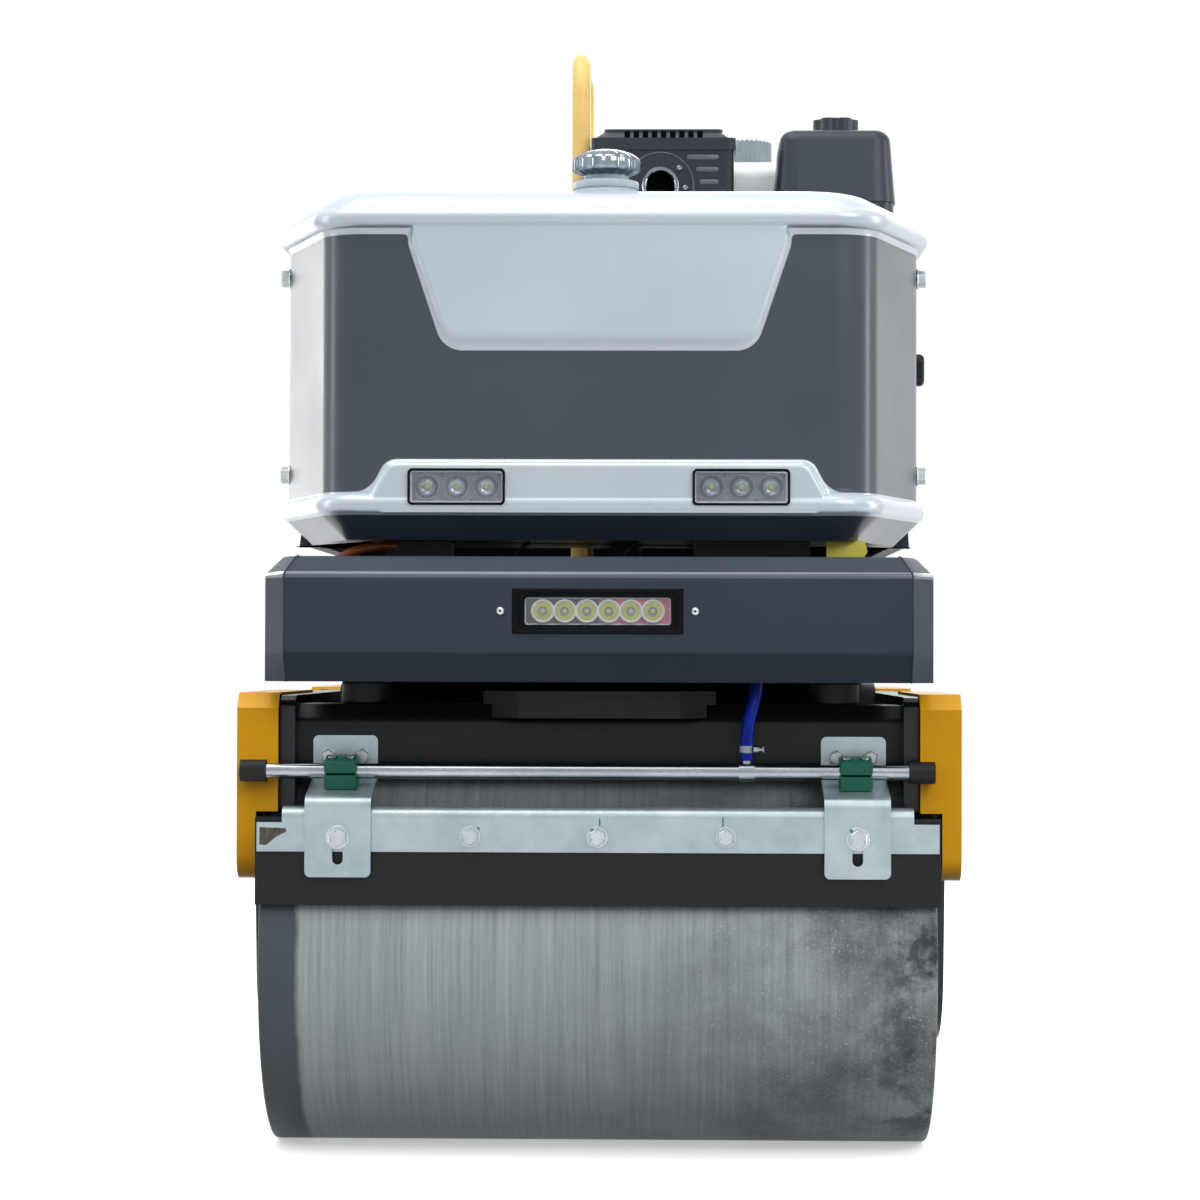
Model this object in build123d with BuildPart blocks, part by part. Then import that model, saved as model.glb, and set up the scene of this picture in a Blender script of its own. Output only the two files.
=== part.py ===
from build123d import *
import os
from math import atan2, cos, radians, sin, sqrt, tan

# Walk-behind double-drum vibratory road roller.
#
# Frame: millimetres, +Z up, the machine's front faces -Y, its right-hand side in
# the front view is +X. The origin lies on the ground under the middle of the
# overall box, with the tow handle in its lowered working place.
#
# Distances called d run backwards from the front drum's foremost line.

os.makedirs("parts", exist_ok=True)

# ---------------------------------------------------------------- running gear
drum_radius = 203.0
drum_width = 700.0
drum_wall = 14.0
drum_edge = 3.0
drum_recess = 64.0
drum_disc = 12.0
hub_radius = 62.0
hub_length = 34.0
wheelbase = 720.0
drum_side_gap = 5.0
arch_gap = 8.0

spindle_radius = 30.0
running_fit = 0.05
motor_radius = 74.0
flange_radius = 96.0
flange_thick = 10.0
spindle_end_gap = 6.0

# ---------------------------------------------------------------- lower frame
hub_plate = 10.0
hub_plate_radius = 92.0
hub_plate_top_width = 250.0
rail_inner = 319.0
rail_front_d = 60.0
rail_top = 482.0
rail_bottom = 362.0
rail_corner = 15.0
beam_d = 78.0
beam_bottom = 406.0
beam_shoulder = 456.0
beam_top = 473.0
beam_depth = 82.0
beam_lip = 34.0
beam_sheet = 6.0
beam_bend = 10.0

exciter_z = 428.0
exciter_radius = 66.0
exciter_flange_radius = 74.0
exciter_flange = 8.0
exciter_flange_gap = 2.0
exciter_half = 212.0

# ---------------------------------------------------------------- yellow covers
cover_sheet = 3.0
cover_space = 10.0
cover_lap = 16.0
cover_step_gap = 3.0
cover_step_z = 361.0
cover_bottom = 290.0
cover_front_d = 45.0
cover_length = 343.0
cover_chamfer = 16.0
cover_corner = 24.0
cover_gap = 0.5
cover_standoff_radius = 14.0

# ---------------------------------------------------------------- drum scraper
bracket_x = 267.0
bracket_width = 68.0
bracket_sheet = 5.0
bracket_inset = 16.0
bracket_under = 13.0
bracket_fall = 19.0
bracket_leg = 78.0
bracket_bend = 8.0
bracket_corner = 6.0
slot_width = 11.0
slot_inset = 13.0
slot_length = 31.0
angle_sheet = 3.0
angle_half = 351.0
angle_under = 6.0
angle_leg = 46.0
angle_flange = 22.0
angle_notch = 26.0
angle_notch_height = 16.0
blade_thick = 8.0
blade_half = 353.0
blade_gap = 2.35
blade_under = 11.0

# ---------------------------------------------------------------- sprinkler
spray_radius = 8.0
spray_d = 30.0
spray_left = -367.0
spray_right = 344.0
cap_radius = 11.5
cap_length = 27.0
cap_wall = 5.0
clamp_width = 34.0
clamp_depth = 30.0
clamp_over = 14.0
clamp_under = 16.67
clamp_split = 1.2
clamp_split_depth = 6.0
grip_fit = 0.3
hose_radius = 6.5
hose_top_x = 165.0
hose_low_x = 154.0
valve_inset = 14.0
valve_rise = 25.0
hose_step = 34.0
hose_bend = 90.0
nipple_radius = 5.0
nipple_height = 4.0
nipple_saddle = 16.0
nipple_wall = 2.0
valve_width = 30.0
valve_depth = 30.0
valve_height = 40.0

# ---------------------------------------------------------------- tie-down
tie_half = 123.0
tie_face_half = 85.0
tie_d = 50.0
tie_under = 14.0
tie_over = 14.0
tie_wall = 10.0
tie_bore_radius = 8.0
tie_bore_x = 60.0
tie_bore_d = 69.0

# ---------------------------------------------------------------- upper frame
mount_radius = 26.0
mount_x = 250.0
mount_d = 125.0
frame_low = 497.0
frame_high = 600.0
frame_half = 305.0
frame_front_d = 60.0
channel_width = 64.0
channel_wall = 8.0
end_plate = 10.0
deck_thick = 12.0
hood_low = 645.0
seat_length = 70.0
seat_spans = ((-228.0, -159.0), (100.0, 222.0))

# ---------------------------------------------------------------- bumpers
bumper_out = 15.0
bumper_half = 323.0
bumper_end_half = 347.0
bumper_wing = 42.0
bumper_low = 497.0
bumper_bend_low = 528.0
bumper_under = 22.0
bumper_top = 627.0
bumper_bend = 15.0
bumper_sheet = 5.0
bumper_back_half = 270.0
light_half = 87.6
light_low = 547.0
light_high = 593.0
light_proud = 2.0
light_depth = 34.0
light_frame = 11.0
light_recess = 3.0
light_gap = 0.3

# ---------------------------------------------------------------- tanks and hood
tank_d = 20.0
tank_face_half = 279.0
tank_half = 343.0
tank_shoulder_d = 200.0
tank_end_d = 310.0
tank_corner = 50.0
tank_shoulder_round = 80.0
skirt = 25.0
bead_low_top = 693.0
bead_out = 8.0
bead_round = 7.5
bead_low_round = 14.0
rim_low = 968.0
rim_high = 990.0
rim_out = 12.0
rim_round = 10.5
crown_in = 1.5
crown_steps = ((0.0, 0.0), (0.014, 6.0), (0.03, 10.5), (0.055, 14.3), (0.09, 17.6), (0.14, 20.5),
               (0.2, 22.6), (0.28, 24.0))
emboss = 8.0
emboss_ease = 5.0
plaque_half_top = 208.0
plaque_half_low = 162.0
plaque_low = 841.0
plaque_corner = 28.0
sill_emboss = 6.0
sill_ease = 4.0
sill_foot = 678.0
sill_half = 221.0
sill_half_low = 248.0
sill_high = 728.0
sill_corner = 18.0
lamp_x_in = 97.0
lamp_x_out = 198.0
lamp_low = 680.0
lamp_high = 718.0
lamp_depth = 20.0
lamp_proud = 2.0
lamp_gap = 0.3
lamp_round = 4.0
lamp_cups = 3
lamp_cup_pitch = 31.0
lamp_cup_radius = 13.0
lamp_cup_depth = 6.0
lamp_cup_taper = 45.0
neck_x = 5.0
neck_d = 110.0
neck_top = 1034.0
neck_rings = ((35.0, 1029.0), (24.0, neck_top))
neck_groove_z = 1019.8
neck_groove = 2.4
neck_groove_radius = 33.2
filler_radius = 36.5
filler_height = 29.6
filler_edge_low = 6.0
filler_edge_high = 18.5
filler_foot_radius = 22.0
filler_dome_radius = 27.0
filler_dome_edge = 25.5
filler_lobes = 14
filler_lobe_radius = 4.0
filler_lobe_depth = 1.6

# ---------------------------------------------------------------- side panels
panel_sheet = 3.0
panel_inset = 1.0
panel_gap = 3.0
panel_seat = 0.3
panel_flange = 18.0
panel_low = 649.0
panel_high = 984.0
louvre_count = 6
louvre_low = 740.0
louvre_pitch = 34.0
louvre_length = 250.0
louvre_width = 15.0
louvre_out = 3.0
louvre_ease = 2.4
louvre_d = 580.0
hinge_radius = 6.0
pin_radius = 3.0
hinge_leaf = 3.0
hinge_leaf_width = 34.0
hinge_height = 60.0
hinge_barrel_gap = 0.5
hinge_z = (735.0, 905.0)
latch_inset = 32.0
latch_z = 850.0
latch_height = 37.0
latch_width = 20.0
latch_out = 20.0

# ---------------------------------------------------------------- power unit
engine_d = 580.0
engine_base = 695.0
recoil_clear = 19.0
case_width = 200.0
case_length = 200.0
case_height = 190.0
foot_thick = 12.0
foot_over = 14.0
crank_z = 812.0
bed_width = 36.0
bed_inset = 24.0
cylinder_size = 132.0
cylinder_length = 96.0
cylinder_tilt = 25.0
fin_count = 7
fin_thick = 3.0
fin_over = 11.0
head_length = 44.0
fan_radius = 122.0
fan_width = 92.0
recoil_radius = 96.0
recoil_depth = 32.0
recoil_slots = 12
cowl_top = 958.0
muffler_over = 12.5
muffler_width = 164.0
muffler_ahead = 160.0
muffler_depth = 110.0
muffler_low = 1000.0
muffler_top = 1113.0
muffler_round = 8.0
cover_lip = 2.4
cover_band = 11.0
cover_rise = 24.0
cover_slope_front = 20.0
cover_slope_side = 15.0
vent_count = 9
vent_pitch = 10.6
vent_width = 5.8
vent_height = 10.0
outlet_in = 66.0
outlet_z = 1071.0
outlet_radius = 16.6
outlet_ring = 21.5
outlet_plate = 39.0
outlet_plate_out = 3.0
outlet_out = 6.0
outlet_depth = 40.0
side_slots = ((115.0, 1104.9, 39.0), (120.5, 1090.7, 28.0), (122.5, 1076.2, 23.5))
side_slot_height = 7.2
side_slot_depth = 3.0
pipe_radius = 15.0
cleaner_in = 198.5
cleaner_width = 141.0
cleaner_ahead = 172.0
cleaner_depth = 134.0
cleaner_low = 1000.0
cleaner_seam = 1052.0
cleaner_top = 1137.0
cleaner_lip = 2.0
cleaner_taper = 4.9
cleaner_round = 26.0
cleaner_top_round = 15.0
elbow_width = 44.0
knob_shift = 3.0
knob_radius = 26.5
knob_height = 19.0
knob_lobes = 6
knob_lobe_radius = 9.0
fuel_over = 10.0
fuel_width = 336.0
fuel_ahead = 32.0
fuel_depth = 170.0
fuel_top = 1121.0
fuel_round = 22.0
fuel_seam = 1040.0
fuel_seam_out = 4.0
fuel_seam_end = 1.0
fuel_seam_thick = 5.0
fuel_cap_in = 181.0
fuel_cap_radius = 30.0
fuel_cap_height = 33.0
fuel_cap_lobes = 16
bell_radius = 66.0
bell_length = 46.0
pump_radius = 52.0
pump_clear = 49.0
small_pump_radius = 36.0
small_pump_length = 70.0

# ---------------------------------------------------------------- lifting hoop
hoop_gap = 17.0
hoop_radius = 11.0
hoop_top = 1245.0
hoop_ahead = 90.0
hoop_span = 190.0
hoop_bend = 42.0
hoop_foot_half = 26.0
hoop_foot_thick = 10.0

# ---------------------------------------------------------------- tow handle
pivot_d = 1194.0
pivot_z = 640.0
pivot_radius = 10.0
ear_radius = 26.0
ear_thick = 12.0
ear_x = 205.0
ear_base_low = 536.0
ear_base_high = 606.0
ear_base_half = 236.0
ear_base_thick = 10.0
handle_tilt = 18.0
handle_length = 1080.0
handle_tube = 17.0
handle_x = 168.0
handle_bend = 70.0
yoke_radius = 22.0
yoke_gap = 5.0
console_near = 700.0
console_far = 940.0
console_rise = 60.0
console_gap = 0.3
console_ease = 12.0
console_controls = (
    (-120.0, 870.0, 27.0, 7.0), (-62.0, 872.0, 13.0, 12.0), (-24.0, 872.0, 9.0, 15.0),
    (-118.0, 790.0, 17.0, 10.0), (-118.0, 790.0, 21.0, 4.0), (-60.0, 790.0, 10.0, 12.0),
    (-24.0, 790.0, 10.0, 12.0), (128.0, 872.0, 16.0, 9.0))
gate_length = 120.0
gate_width = 40.0
gate_wall = 8.0
gate_height = 5.0
grip_wall = 3.5
grip_length = 190.0
lever_radius = 7.0
lever_height = 120.0
lever_x = 60.0

# ---------------------------------------------------------------- derived places
machine_length = 2 * drum_radius + wheelbase
handle_end_d = pivot_d + handle_length * cos(radians(handle_tilt)) + handle_tube + grip_wall
front_out = bumper_out + light_proud
y_front = front_out - (front_out + handle_end_d) / 2
y_mid = y_front + machine_length / 2
mid_plane = Plane(origin=(0, y_mid, 0), x_dir=(1, 0, 0), z_dir=(0, 1, 0))
axle_y = {"front": y_front + drum_radius, "rear": y_front + drum_radius + wheelbase}
sides = (("left", -1), ("right", 1))
hub_plate_x = drum_width / 2 + drum_side_gap
rail_depth = hub_plate_x - rail_inner
cover_out = hub_plate_x + hub_plate + cover_space + cover_sheet
cover_in = rail_inner + cover_lap
cover_step_in = hub_plate_x + cover_step_gap
cover_top = rail_top + cover_sheet
engine_left = tank_half - panel_inset - panel_sheet - recoil_clear - recoil_depth - fan_width - case_width
hoop_x = engine_left - hoop_gap - hoop_radius
muffler_left = engine_left - muffler_over
outlet_x = engine_left + outlet_in
cleaner_left = engine_left + cleaner_in
fuel_left = engine_left - fuel_over
deck_top = frame_high + deck_thick
bracket_top = beam_shoulder - bracket_inset
bracket_knee = beam_bottom - bracket_under
bracket_nose = bracket_knee - bracket_fall
bracket_low = bracket_nose - bracket_leg
slot_low = bracket_low + slot_inset
angle_high = bracket_nose - angle_under
angle_low = angle_high - angle_leg
blade_high = angle_high - blade_under
blade_low = drum_radius + sqrt(drum_radius ** 2 - (drum_radius - blade_thick - blade_gap) ** 2)
slope_angle = atan2(bracket_fall, beam_d + angle_sheet)
slope_z = bracket_nose + (spray_d + angle_sheet) * tan(slope_angle)
spray_z = slope_z + (clamp_under + bracket_sheet) / cos(slope_angle)
hose_top_d = frame_front_d - bumper_sheet - valve_inset
hose_top_z = bumper_low + valve_rise
tie_low = beam_top - tie_under
tie_high = beam_top + tie_over
pump_length = engine_left + tank_half - panel_inset - panel_sheet - pump_clear - bell_length - small_pump_length
muffler_d = engine_d - muffler_ahead
cleaner_d = engine_d - cleaner_ahead
fuel_d = engine_d - fuel_ahead
hoop_d = engine_d - hoop_ahead


def back(d):
    """Y of a point d behind the front drum's foremost line."""
    return y_front + d


def across(x):
    """Plane square to X at x, with its own axes along Y and Z."""
    return Plane(origin=(x, 0, 0), x_dir=(0, 1, 0), z_dir=(1, 0, 0))


def facing(d):
    """Plane square to Y at d, looking at the machine's front."""
    return Plane(origin=(0, back(d), 0), x_dir=(1, 0, 0), z_dir=(0, -1, 0))


# ================================================================ drums
for end, y_axle in axle_y.items():
    drum_axis = Axis((0, y_axle, drum_radius), (1, 0, 0))
    with BuildPart() as drum:
        with BuildSketch(Plane(origin=(0, y_axle, drum_radius))):
            with Locations((0, drum_radius - drum_wall / 2)):
                shell_section = Rectangle(drum_width, drum_wall)
            fillet(shell_section.vertices().group_by(Axis.Y)[-1], radius=drum_edge)
            for side, sx in sides:
                disc_x = sx * (drum_width / 2 - drum_recess - drum_disc / 2)
                with Locations((disc_x, drum_radius / 2)):
                    Rectangle(drum_disc, drum_radius - drum_wall)
                with Locations((disc_x, hub_radius / 2)):
                    Rectangle(hub_length, hub_radius)
                with Locations((disc_x, (spindle_radius + running_fit) / 2)):
                    Rectangle(hub_length + drum_disc, spindle_radius + running_fit, mode=Mode.SUBTRACT)
        revolve(axis=drum_axis)
    drum.part.label = "drum_" + end
    export_step(drum.part, "parts/drum_" + end + ".step")

# Stub axle of each drum end: a drive motor on the hub plate's inner face whose
# spindle runs in the drum's hub.
spindle_reach = drum_recess + drum_disc / 2 + hub_length / 2 - spindle_end_gap
for end, y_axle in axle_y.items():
    with BuildPart() as drive_motors:
        for side, sx in sides:
            x_stage = hub_plate_x
            for stage_radius, stage_length in (
                    (flange_radius, flange_thick),
                    (motor_radius, drum_side_gap + drum_recess / 2 - flange_thick),
                    (spindle_radius, spindle_reach - drum_recess / 2)):
                with BuildSketch(across(sx * x_stage)):
                    with Locations((y_axle, drum_radius)):
                        Circle(stage_radius)
                extrude(amount=-sx * stage_length)
                x_stage = x_stage - stage_length
    drive_motors.part.label = "drive_motors_" + end
    export_step(drive_motors.part, "parts/drive_motors_" + end + ".step")

# ================================================================ lower frame
# One side frame on each side: a deep rail with an arch over each drum, and a hub
# plate hanging outside each drum end.
rail_length = machine_length - 2 * rail_front_d
for side, sx in sides:
    with BuildPart() as side_frame:
        with BuildSketch(across(sx * rail_inner)) as rail_profile:
            with Locations((y_mid, (rail_bottom + rail_top) / 2)):
                Rectangle(rail_length, rail_top - rail_bottom)
            fillet(rail_profile.vertices().group_by(Axis.Y)[-1], radius=rail_corner)
            with Locations(*[(y_axle, drum_radius) for y_axle in axle_y.values()]):
                Circle(drum_radius + arch_gap, mode=Mode.SUBTRACT)
        extrude(amount=sx * rail_depth)
        for y_axle in axle_y.values():
            with BuildSketch(across(sx * hub_plate_x)):
                with Locations((y_axle, drum_radius)):
                    Circle(hub_plate_radius)
                with Locations((y_axle, rail_top - arch_gap)):
                    Rectangle(hub_plate_top_width, 2 * arch_gap)
                make_hull()
            extrude(amount=sx * hub_plate)
    side_frame.part.label = "side_frame_" + side
    export_step(side_frame.part, "parts/side_frame_" + side + ".step")

# Cross beam: a folded channel between the side frames, ahead of each drum's top.
with BuildPart() as cross_beam_front:
    with BuildSketch(across(-rail_inner)):
        with BuildLine():
            beam_line = FilletPolyline(
                (back(beam_d + beam_lip), beam_bottom),
                (back(beam_d), beam_bottom),
                (back(beam_d), beam_shoulder),
                (back(beam_d + (beam_top - beam_shoulder)), beam_top),
                (back(beam_d + beam_depth), beam_top),
                radius=beam_bend)
            offset(beam_line, amount=beam_sheet, side=Side.RIGHT)
        make_face()
    extrude(amount=2 * rail_inner)
cross_beam_front.part.label = "cross_beam_front"
export_step(cross_beam_front.part, "parts/cross_beam_front.step")

with BuildPart() as cross_beam_rear:
    mirror(cross_beam_front.part, about=mid_plane)
cross_beam_rear.part.label = "cross_beam_rear"
export_step(cross_beam_rear.part, "parts/cross_beam_rear.step")

# Exciter housing: a flanged tube across the lower frame, midway between the drums.
with BuildPart() as exciter_housing:
    with BuildSketch(across(-rail_inner)):
        with Locations((y_mid, exciter_z)):
            Circle(exciter_radius)
    extrude(amount=2 * rail_inner)
    for side, sx in sides:
        for flange_x in (exciter_half, exciter_half + exciter_flange + exciter_flange_gap):
            with BuildSketch(across(sx * flange_x)):
                with Locations((y_mid, exciter_z)):
                    Circle(exciter_flange_radius)
            extrude(amount=-sx * exciter_flange)
exciter_housing.part.label = "exciter_housing"
export_step(exciter_housing.part, "parts/exciter_housing.step")

# ================================================================ yellow covers
# A shallow sheet box over each drum end, open towards the drum.
cover_back_d = cover_front_d + cover_length
stand_z = (cover_bottom + cover_top) / 2
for side, sx in sides:
    with BuildPart() as cover_front:
        with BuildSketch(across(sx * cover_out)) as cover_outline:
            with Locations((back((cover_front_d + cover_back_d) / 2), (cover_bottom + cover_top) / 2)):
                Rectangle(cover_length, cover_top - cover_bottom)
            chamfer(cover_outline.vertices().group_by(Axis.Y)[-1], length=cover_chamfer)
            fillet(cover_outline.vertices().group_by(Axis.Y)[0], radius=cover_corner)
        extrude(amount=-sx * (cover_out - cover_in))
        with BuildSketch(across(sx * (cover_out - cover_sheet))):
            offset(cover_outline.sketch_local, amount=-cover_sheet)
        extrude(amount=-sx * (cover_out - cover_in), mode=Mode.SUBTRACT)
        # below the step, and along the back, the flanges stop outside the drum
        # and the hub plate
        step_depth = cover_step_in - cover_in
        with Locations((sx * (cover_in + step_depth / 2), back(cover_front_d), cover_step_z)):
            Box(step_depth, cover_length, cover_top, align=(Align.CENTER, Align.MIN, Align.MAX),
                mode=Mode.SUBTRACT)
        rear_depth = hub_plate_x + hub_plate + cover_gap - cover_in
        with Locations((sx * (cover_in + rear_depth / 2), back(cover_front_d + cover_corner),
                        cover_bottom + cover_corner)):
            Box(rear_depth, cover_length, cover_top, align=(Align.CENTER, Align.MIN, Align.MAX),
                mode=Mode.SUBTRACT)
        with Locations((sx * (cover_in + rear_depth / 2), back(cover_back_d - cover_chamfer - cover_sheet),
                        cover_top - cover_sheet)):
            Box(rear_depth, cover_length, cover_top, align=(Align.CENTER, Align.MIN, Align.MAX),
                mode=Mode.SUBTRACT)
        # spacer between the hub plate and the cover
        with BuildSketch(across(sx * (cover_out - cover_sheet))):
            with Locations((axle_y["front"], stand_z)):
                Circle(cover_standoff_radius)
        extrude(amount=-sx * (cover_out - cover_sheet - hub_plate_x - hub_plate))
    cover_front.part.label = "side_cover_front_" + side
    export_step(cover_front.part, "parts/side_cover_front_" + side + ".step")

    with BuildPart() as cover_rear:
        mirror(cover_front.part, about=mid_plane)
    cover_rear.part.label = "side_cover_rear_" + side
    export_step(cover_rear.part, "parts/side_cover_rear_" + side + ".step")

# ================================================================ drum scrapers
bracket_face_d = -(angle_sheet + bracket_sheet)
with BuildPart() as scraper_brackets_front:
    with BuildSketch(across(-bracket_width / 2)):
        with BuildLine():
            bracket_line = FilletPolyline(
                (back(beam_d), bracket_top),
                (back(beam_d), bracket_knee),
                (back(-angle_sheet), bracket_nose),
                (back(-angle_sheet), bracket_low),
                radius=bracket_bend)
            offset(bracket_line, amount=bracket_sheet, side=Side.RIGHT)
        make_face()
    extrude(amount=bracket_width)
    fillet(scraper_brackets_front.edges().filter_by(Axis.Y).group_by(Axis.Z)[0], radius=bracket_corner)
    fillet(scraper_brackets_front.edges().filter_by(Axis.Y).group_by(Axis.Z)[-1], radius=bracket_corner)
    with BuildSketch(facing(bracket_face_d)):
        with Locations((0, slot_low + slot_length / 2)):
            SlotOverall(slot_length, slot_width, rotation=90)
    extrude(amount=-bracket_sheet, mode=Mode.SUBTRACT)
bracket_one = scraper_brackets_front.part
with BuildPart() as scraper_brackets_front:
    with Locations((-bracket_x, 0, 0), (bracket_x, 0, 0)):
        add(bracket_one)
scraper_brackets_front.part.label = "scraper_brackets_front"
export_step(scraper_brackets_front.part, "parts/scraper_brackets_front.step")

with BuildPart() as scraper_angle_front:
    with BuildSketch(across(-angle_half)):
        with BuildLine():
            angle_line = FilletPolyline(
                (back(0), angle_low), (back(0), angle_high - angle_sheet),
                (back(angle_flange), angle_high - angle_sheet), radius=bracket_bend)
            offset(angle_line, amount=angle_sheet, side=Side.LEFT)
        make_face()
    extrude(amount=2 * angle_half)
    with Locations(*[(sx * angle_half, back(0), angle_high - angle_notch_height) for side, sx in sides]):
        Box(2 * angle_notch, 4 * angle_flange, angle_high, align=(Align.CENTER, Align.CENTER, Align.MIN),
            mode=Mode.SUBTRACT)
scraper_angle_front.part.label = "scraper_angle_front"
export_step(scraper_angle_front.part, "parts/scraper_angle_front.step")

with BuildPart() as scraper_blade_front:
    with BuildSketch(across(-blade_half)):
        with Locations((back(blade_thick / 2), (blade_low + blade_high) / 2)):
            Rectangle(blade_thick, blade_high - blade_low)
    extrude(amount=2 * blade_half)
scraper_blade_front.part.label = "scraper_blade_front"
export_step(scraper_blade_front.part, "parts/scraper_blade_front.step")

# ================================================================ sprinkler bar
with BuildPart() as spray_tube_front:
    with BuildSketch(across(spray_left)):
        with Locations((back(spray_d), spray_z)):
            Circle(spray_radius)
    extrude(amount=spray_right - spray_left)
spray_tube_front.part.label = "spray_tube_front"
export_step(spray_tube_front.part, "parts/spray_tube_front.step")

with BuildPart() as spray_caps_front:
    for x_end, sx in ((spray_left, -1), (spray_right, 1)):
        with BuildSketch(across(x_end + sx * cap_wall)):
            with Locations((back(spray_d), spray_z)):
                Circle(cap_radius)
        extrude(amount=-sx * cap_length)
        with BuildSketch(across(x_end)):
            with Locations((back(spray_d), spray_z)):
                Circle(spray_radius)
        extrude(amount=-sx * cap_length, mode=Mode.SUBTRACT)
spray_caps_front.part.label = "spray_caps_front"
export_step(spray_caps_front.part, "parts/spray_caps_front.step")

# Two-half pipe clamps, standing square on the brackets' slope.
with BuildPart() as tube_clamps_front:
    for side, sx in sides:
        clamp_plane = Plane(origin=(sx * bracket_x - clamp_width / 2, back(spray_d), spray_z),
                            x_dir=(0, cos(slope_angle), sin(slope_angle)), z_dir=(1, 0, 0))
        with BuildSketch(clamp_plane):
            with Locations((0, (clamp_over - clamp_under) / 2)):
                Rectangle(clamp_depth, clamp_over + clamp_under)
            Rectangle(clamp_depth, clamp_split, mode=Mode.SUBTRACT)
            Rectangle(clamp_depth - 2 * clamp_split_depth, clamp_split)
            Circle(spray_radius + grip_fit, mode=Mode.SUBTRACT)
        extrude(amount=clamp_width)
tube_clamps_front.part.label = "tube_clamps_front"
export_step(tube_clamps_front.part, "parts/tube_clamps_front.step")

# Feed hose from a stop valve on the bumper's back plate down to the nipple on the
# spray tube. Its route lies in one upright plane through both ends.
hose_run = Vector(hose_low_x - hose_top_x, spray_d - hose_top_d, 0)
hose_side = hose_run.normalized()
hose_start = Vector(hose_top_x, back(hose_top_d), 0)
hose_plane = Plane(origin=hose_start, x_dir=hose_side, z_dir=hose_side.cross(Vector(0, 0, 1)))
hose_foot_z = spray_z + spray_radius + nipple_height
with BuildPart() as water_hose_front:
    with BuildLine(hose_plane) as hose_path:
        FilletPolyline(
            (0, hose_top_z), (0, hose_top_z - hose_step),
            (hose_run.length, hose_foot_z + hose_step), (hose_run.length, hose_foot_z),
            radius=hose_bend)
    with BuildSketch(Plane(origin=hose_path.line @ 0, z_dir=(0, 0, -1))):
        Circle(hose_radius)
    sweep()
water_hose_front.part.label = "water_hose_front"
export_step(water_hose_front.part, "parts/water_hose_front.step")

with BuildPart() as water_valve_front:
    with Locations((hose_top_x, back(frame_front_d - bumper_sheet), hose_top_z)):
        Box(valve_width, valve_depth, valve_height, align=(Align.CENTER, Align.MAX, Align.MIN))
    with Locations((hose_low_x, back(spray_d), spray_z)):
        Cylinder(nipple_radius, spray_radius + nipple_height, align=(Align.CENTER, Align.CENTER, Align.MIN))
    with BuildSketch(across(hose_low_x - nipple_saddle / 2)):
        with Locations((back(spray_d), spray_z)):
            Circle(spray_radius + nipple_wall)
    extrude(amount=nipple_saddle)
    with BuildSketch(across(hose_low_x - nipple_saddle / 2)):
        with Locations((back(spray_d), spray_z)):
            Circle(spray_radius)
    extrude(amount=nipple_saddle, mode=Mode.SUBTRACT)
water_valve_front.part.label = "water_valve_front"
export_step(water_valve_front.part, "parts/water_valve_front.step")

for piece in (scraper_brackets_front, scraper_angle_front, scraper_blade_front,
              spray_tube_front, spray_caps_front, tube_clamps_front, water_hose_front, water_valve_front):
    with BuildPart() as rear_piece:
        mirror(piece.part, about=mid_plane)
    rear_piece.part.label = piece.part.label.replace("front", "rear")
    export_step(rear_piece.part, "parts/" + rear_piece.part.label + ".step")

# ================================================================ tie-down
# A plate on the beam's top that reaches out ahead of it, with a turned-down lip
# and a hole near each end for a lashing shackle.
tie_back_d = beam_d + beam_depth
tie_corner = tie_half - tie_face_half
with BuildPart() as tie_down_front:
    with BuildSketch(Plane.XY.offset(tie_low)) as tie_plan:
        with Locations((0, back(tie_d))):
            Rectangle(2 * tie_half, tie_back_d - tie_d, align=(Align.CENTER, Align.MIN))
        chamfer(tie_plan.vertices().group_by(Axis.Y)[0], length=tie_corner)
    extrude(amount=tie_high - tie_low)
    with BuildSketch(Plane.XY.offset(tie_low)):
        offset(tie_plan.sketch_local, amount=-tie_wall)
    extrude(amount=beam_top - tie_low, mode=Mode.SUBTRACT)
    with Locations((0, back(beam_d), beam_top)):
        Box(4 * tie_half, 2 * beam_depth, beam_top, align=(Align.CENTER, Align.MIN, Align.MAX),
            mode=Mode.SUBTRACT)
    with Locations(*[(sx * tie_bore_x, back(tie_bore_d), tie_high) for side, sx in sides]):
        Hole(tie_bore_radius)
tie_down_front.part.label = "tie_down_front"
export_step(tie_down_front.part, "parts/tie_down_front.step")

with BuildPart() as tie_down_rear:
    mirror(tie_down_front.part, about=mid_plane)
tie_down_rear.part.label = "tie_down_rear"
export_step(tie_down_rear.part, "parts/tie_down_rear.step")

# ================================================================ upper frame
mount_places = [(sx * mount_x, y_mid + sy * (machine_length / 2 - mount_d))
                for side, sx in sides for sy in (-1, 1)]
with BuildPart() as rubber_mounts:
    with BuildSketch(Plane.XY.offset(beam_top)):
        with Locations(*mount_places):
            Circle(mount_radius)
    extrude(amount=frame_low - beam_top)
    fillet(rubber_mounts.edges().filter_by(GeomType.CIRCLE), radius=3)
rubber_mounts.part.label = "rubber_mounts"
export_step(rubber_mounts.part, "parts/rubber_mounts.step")

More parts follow.
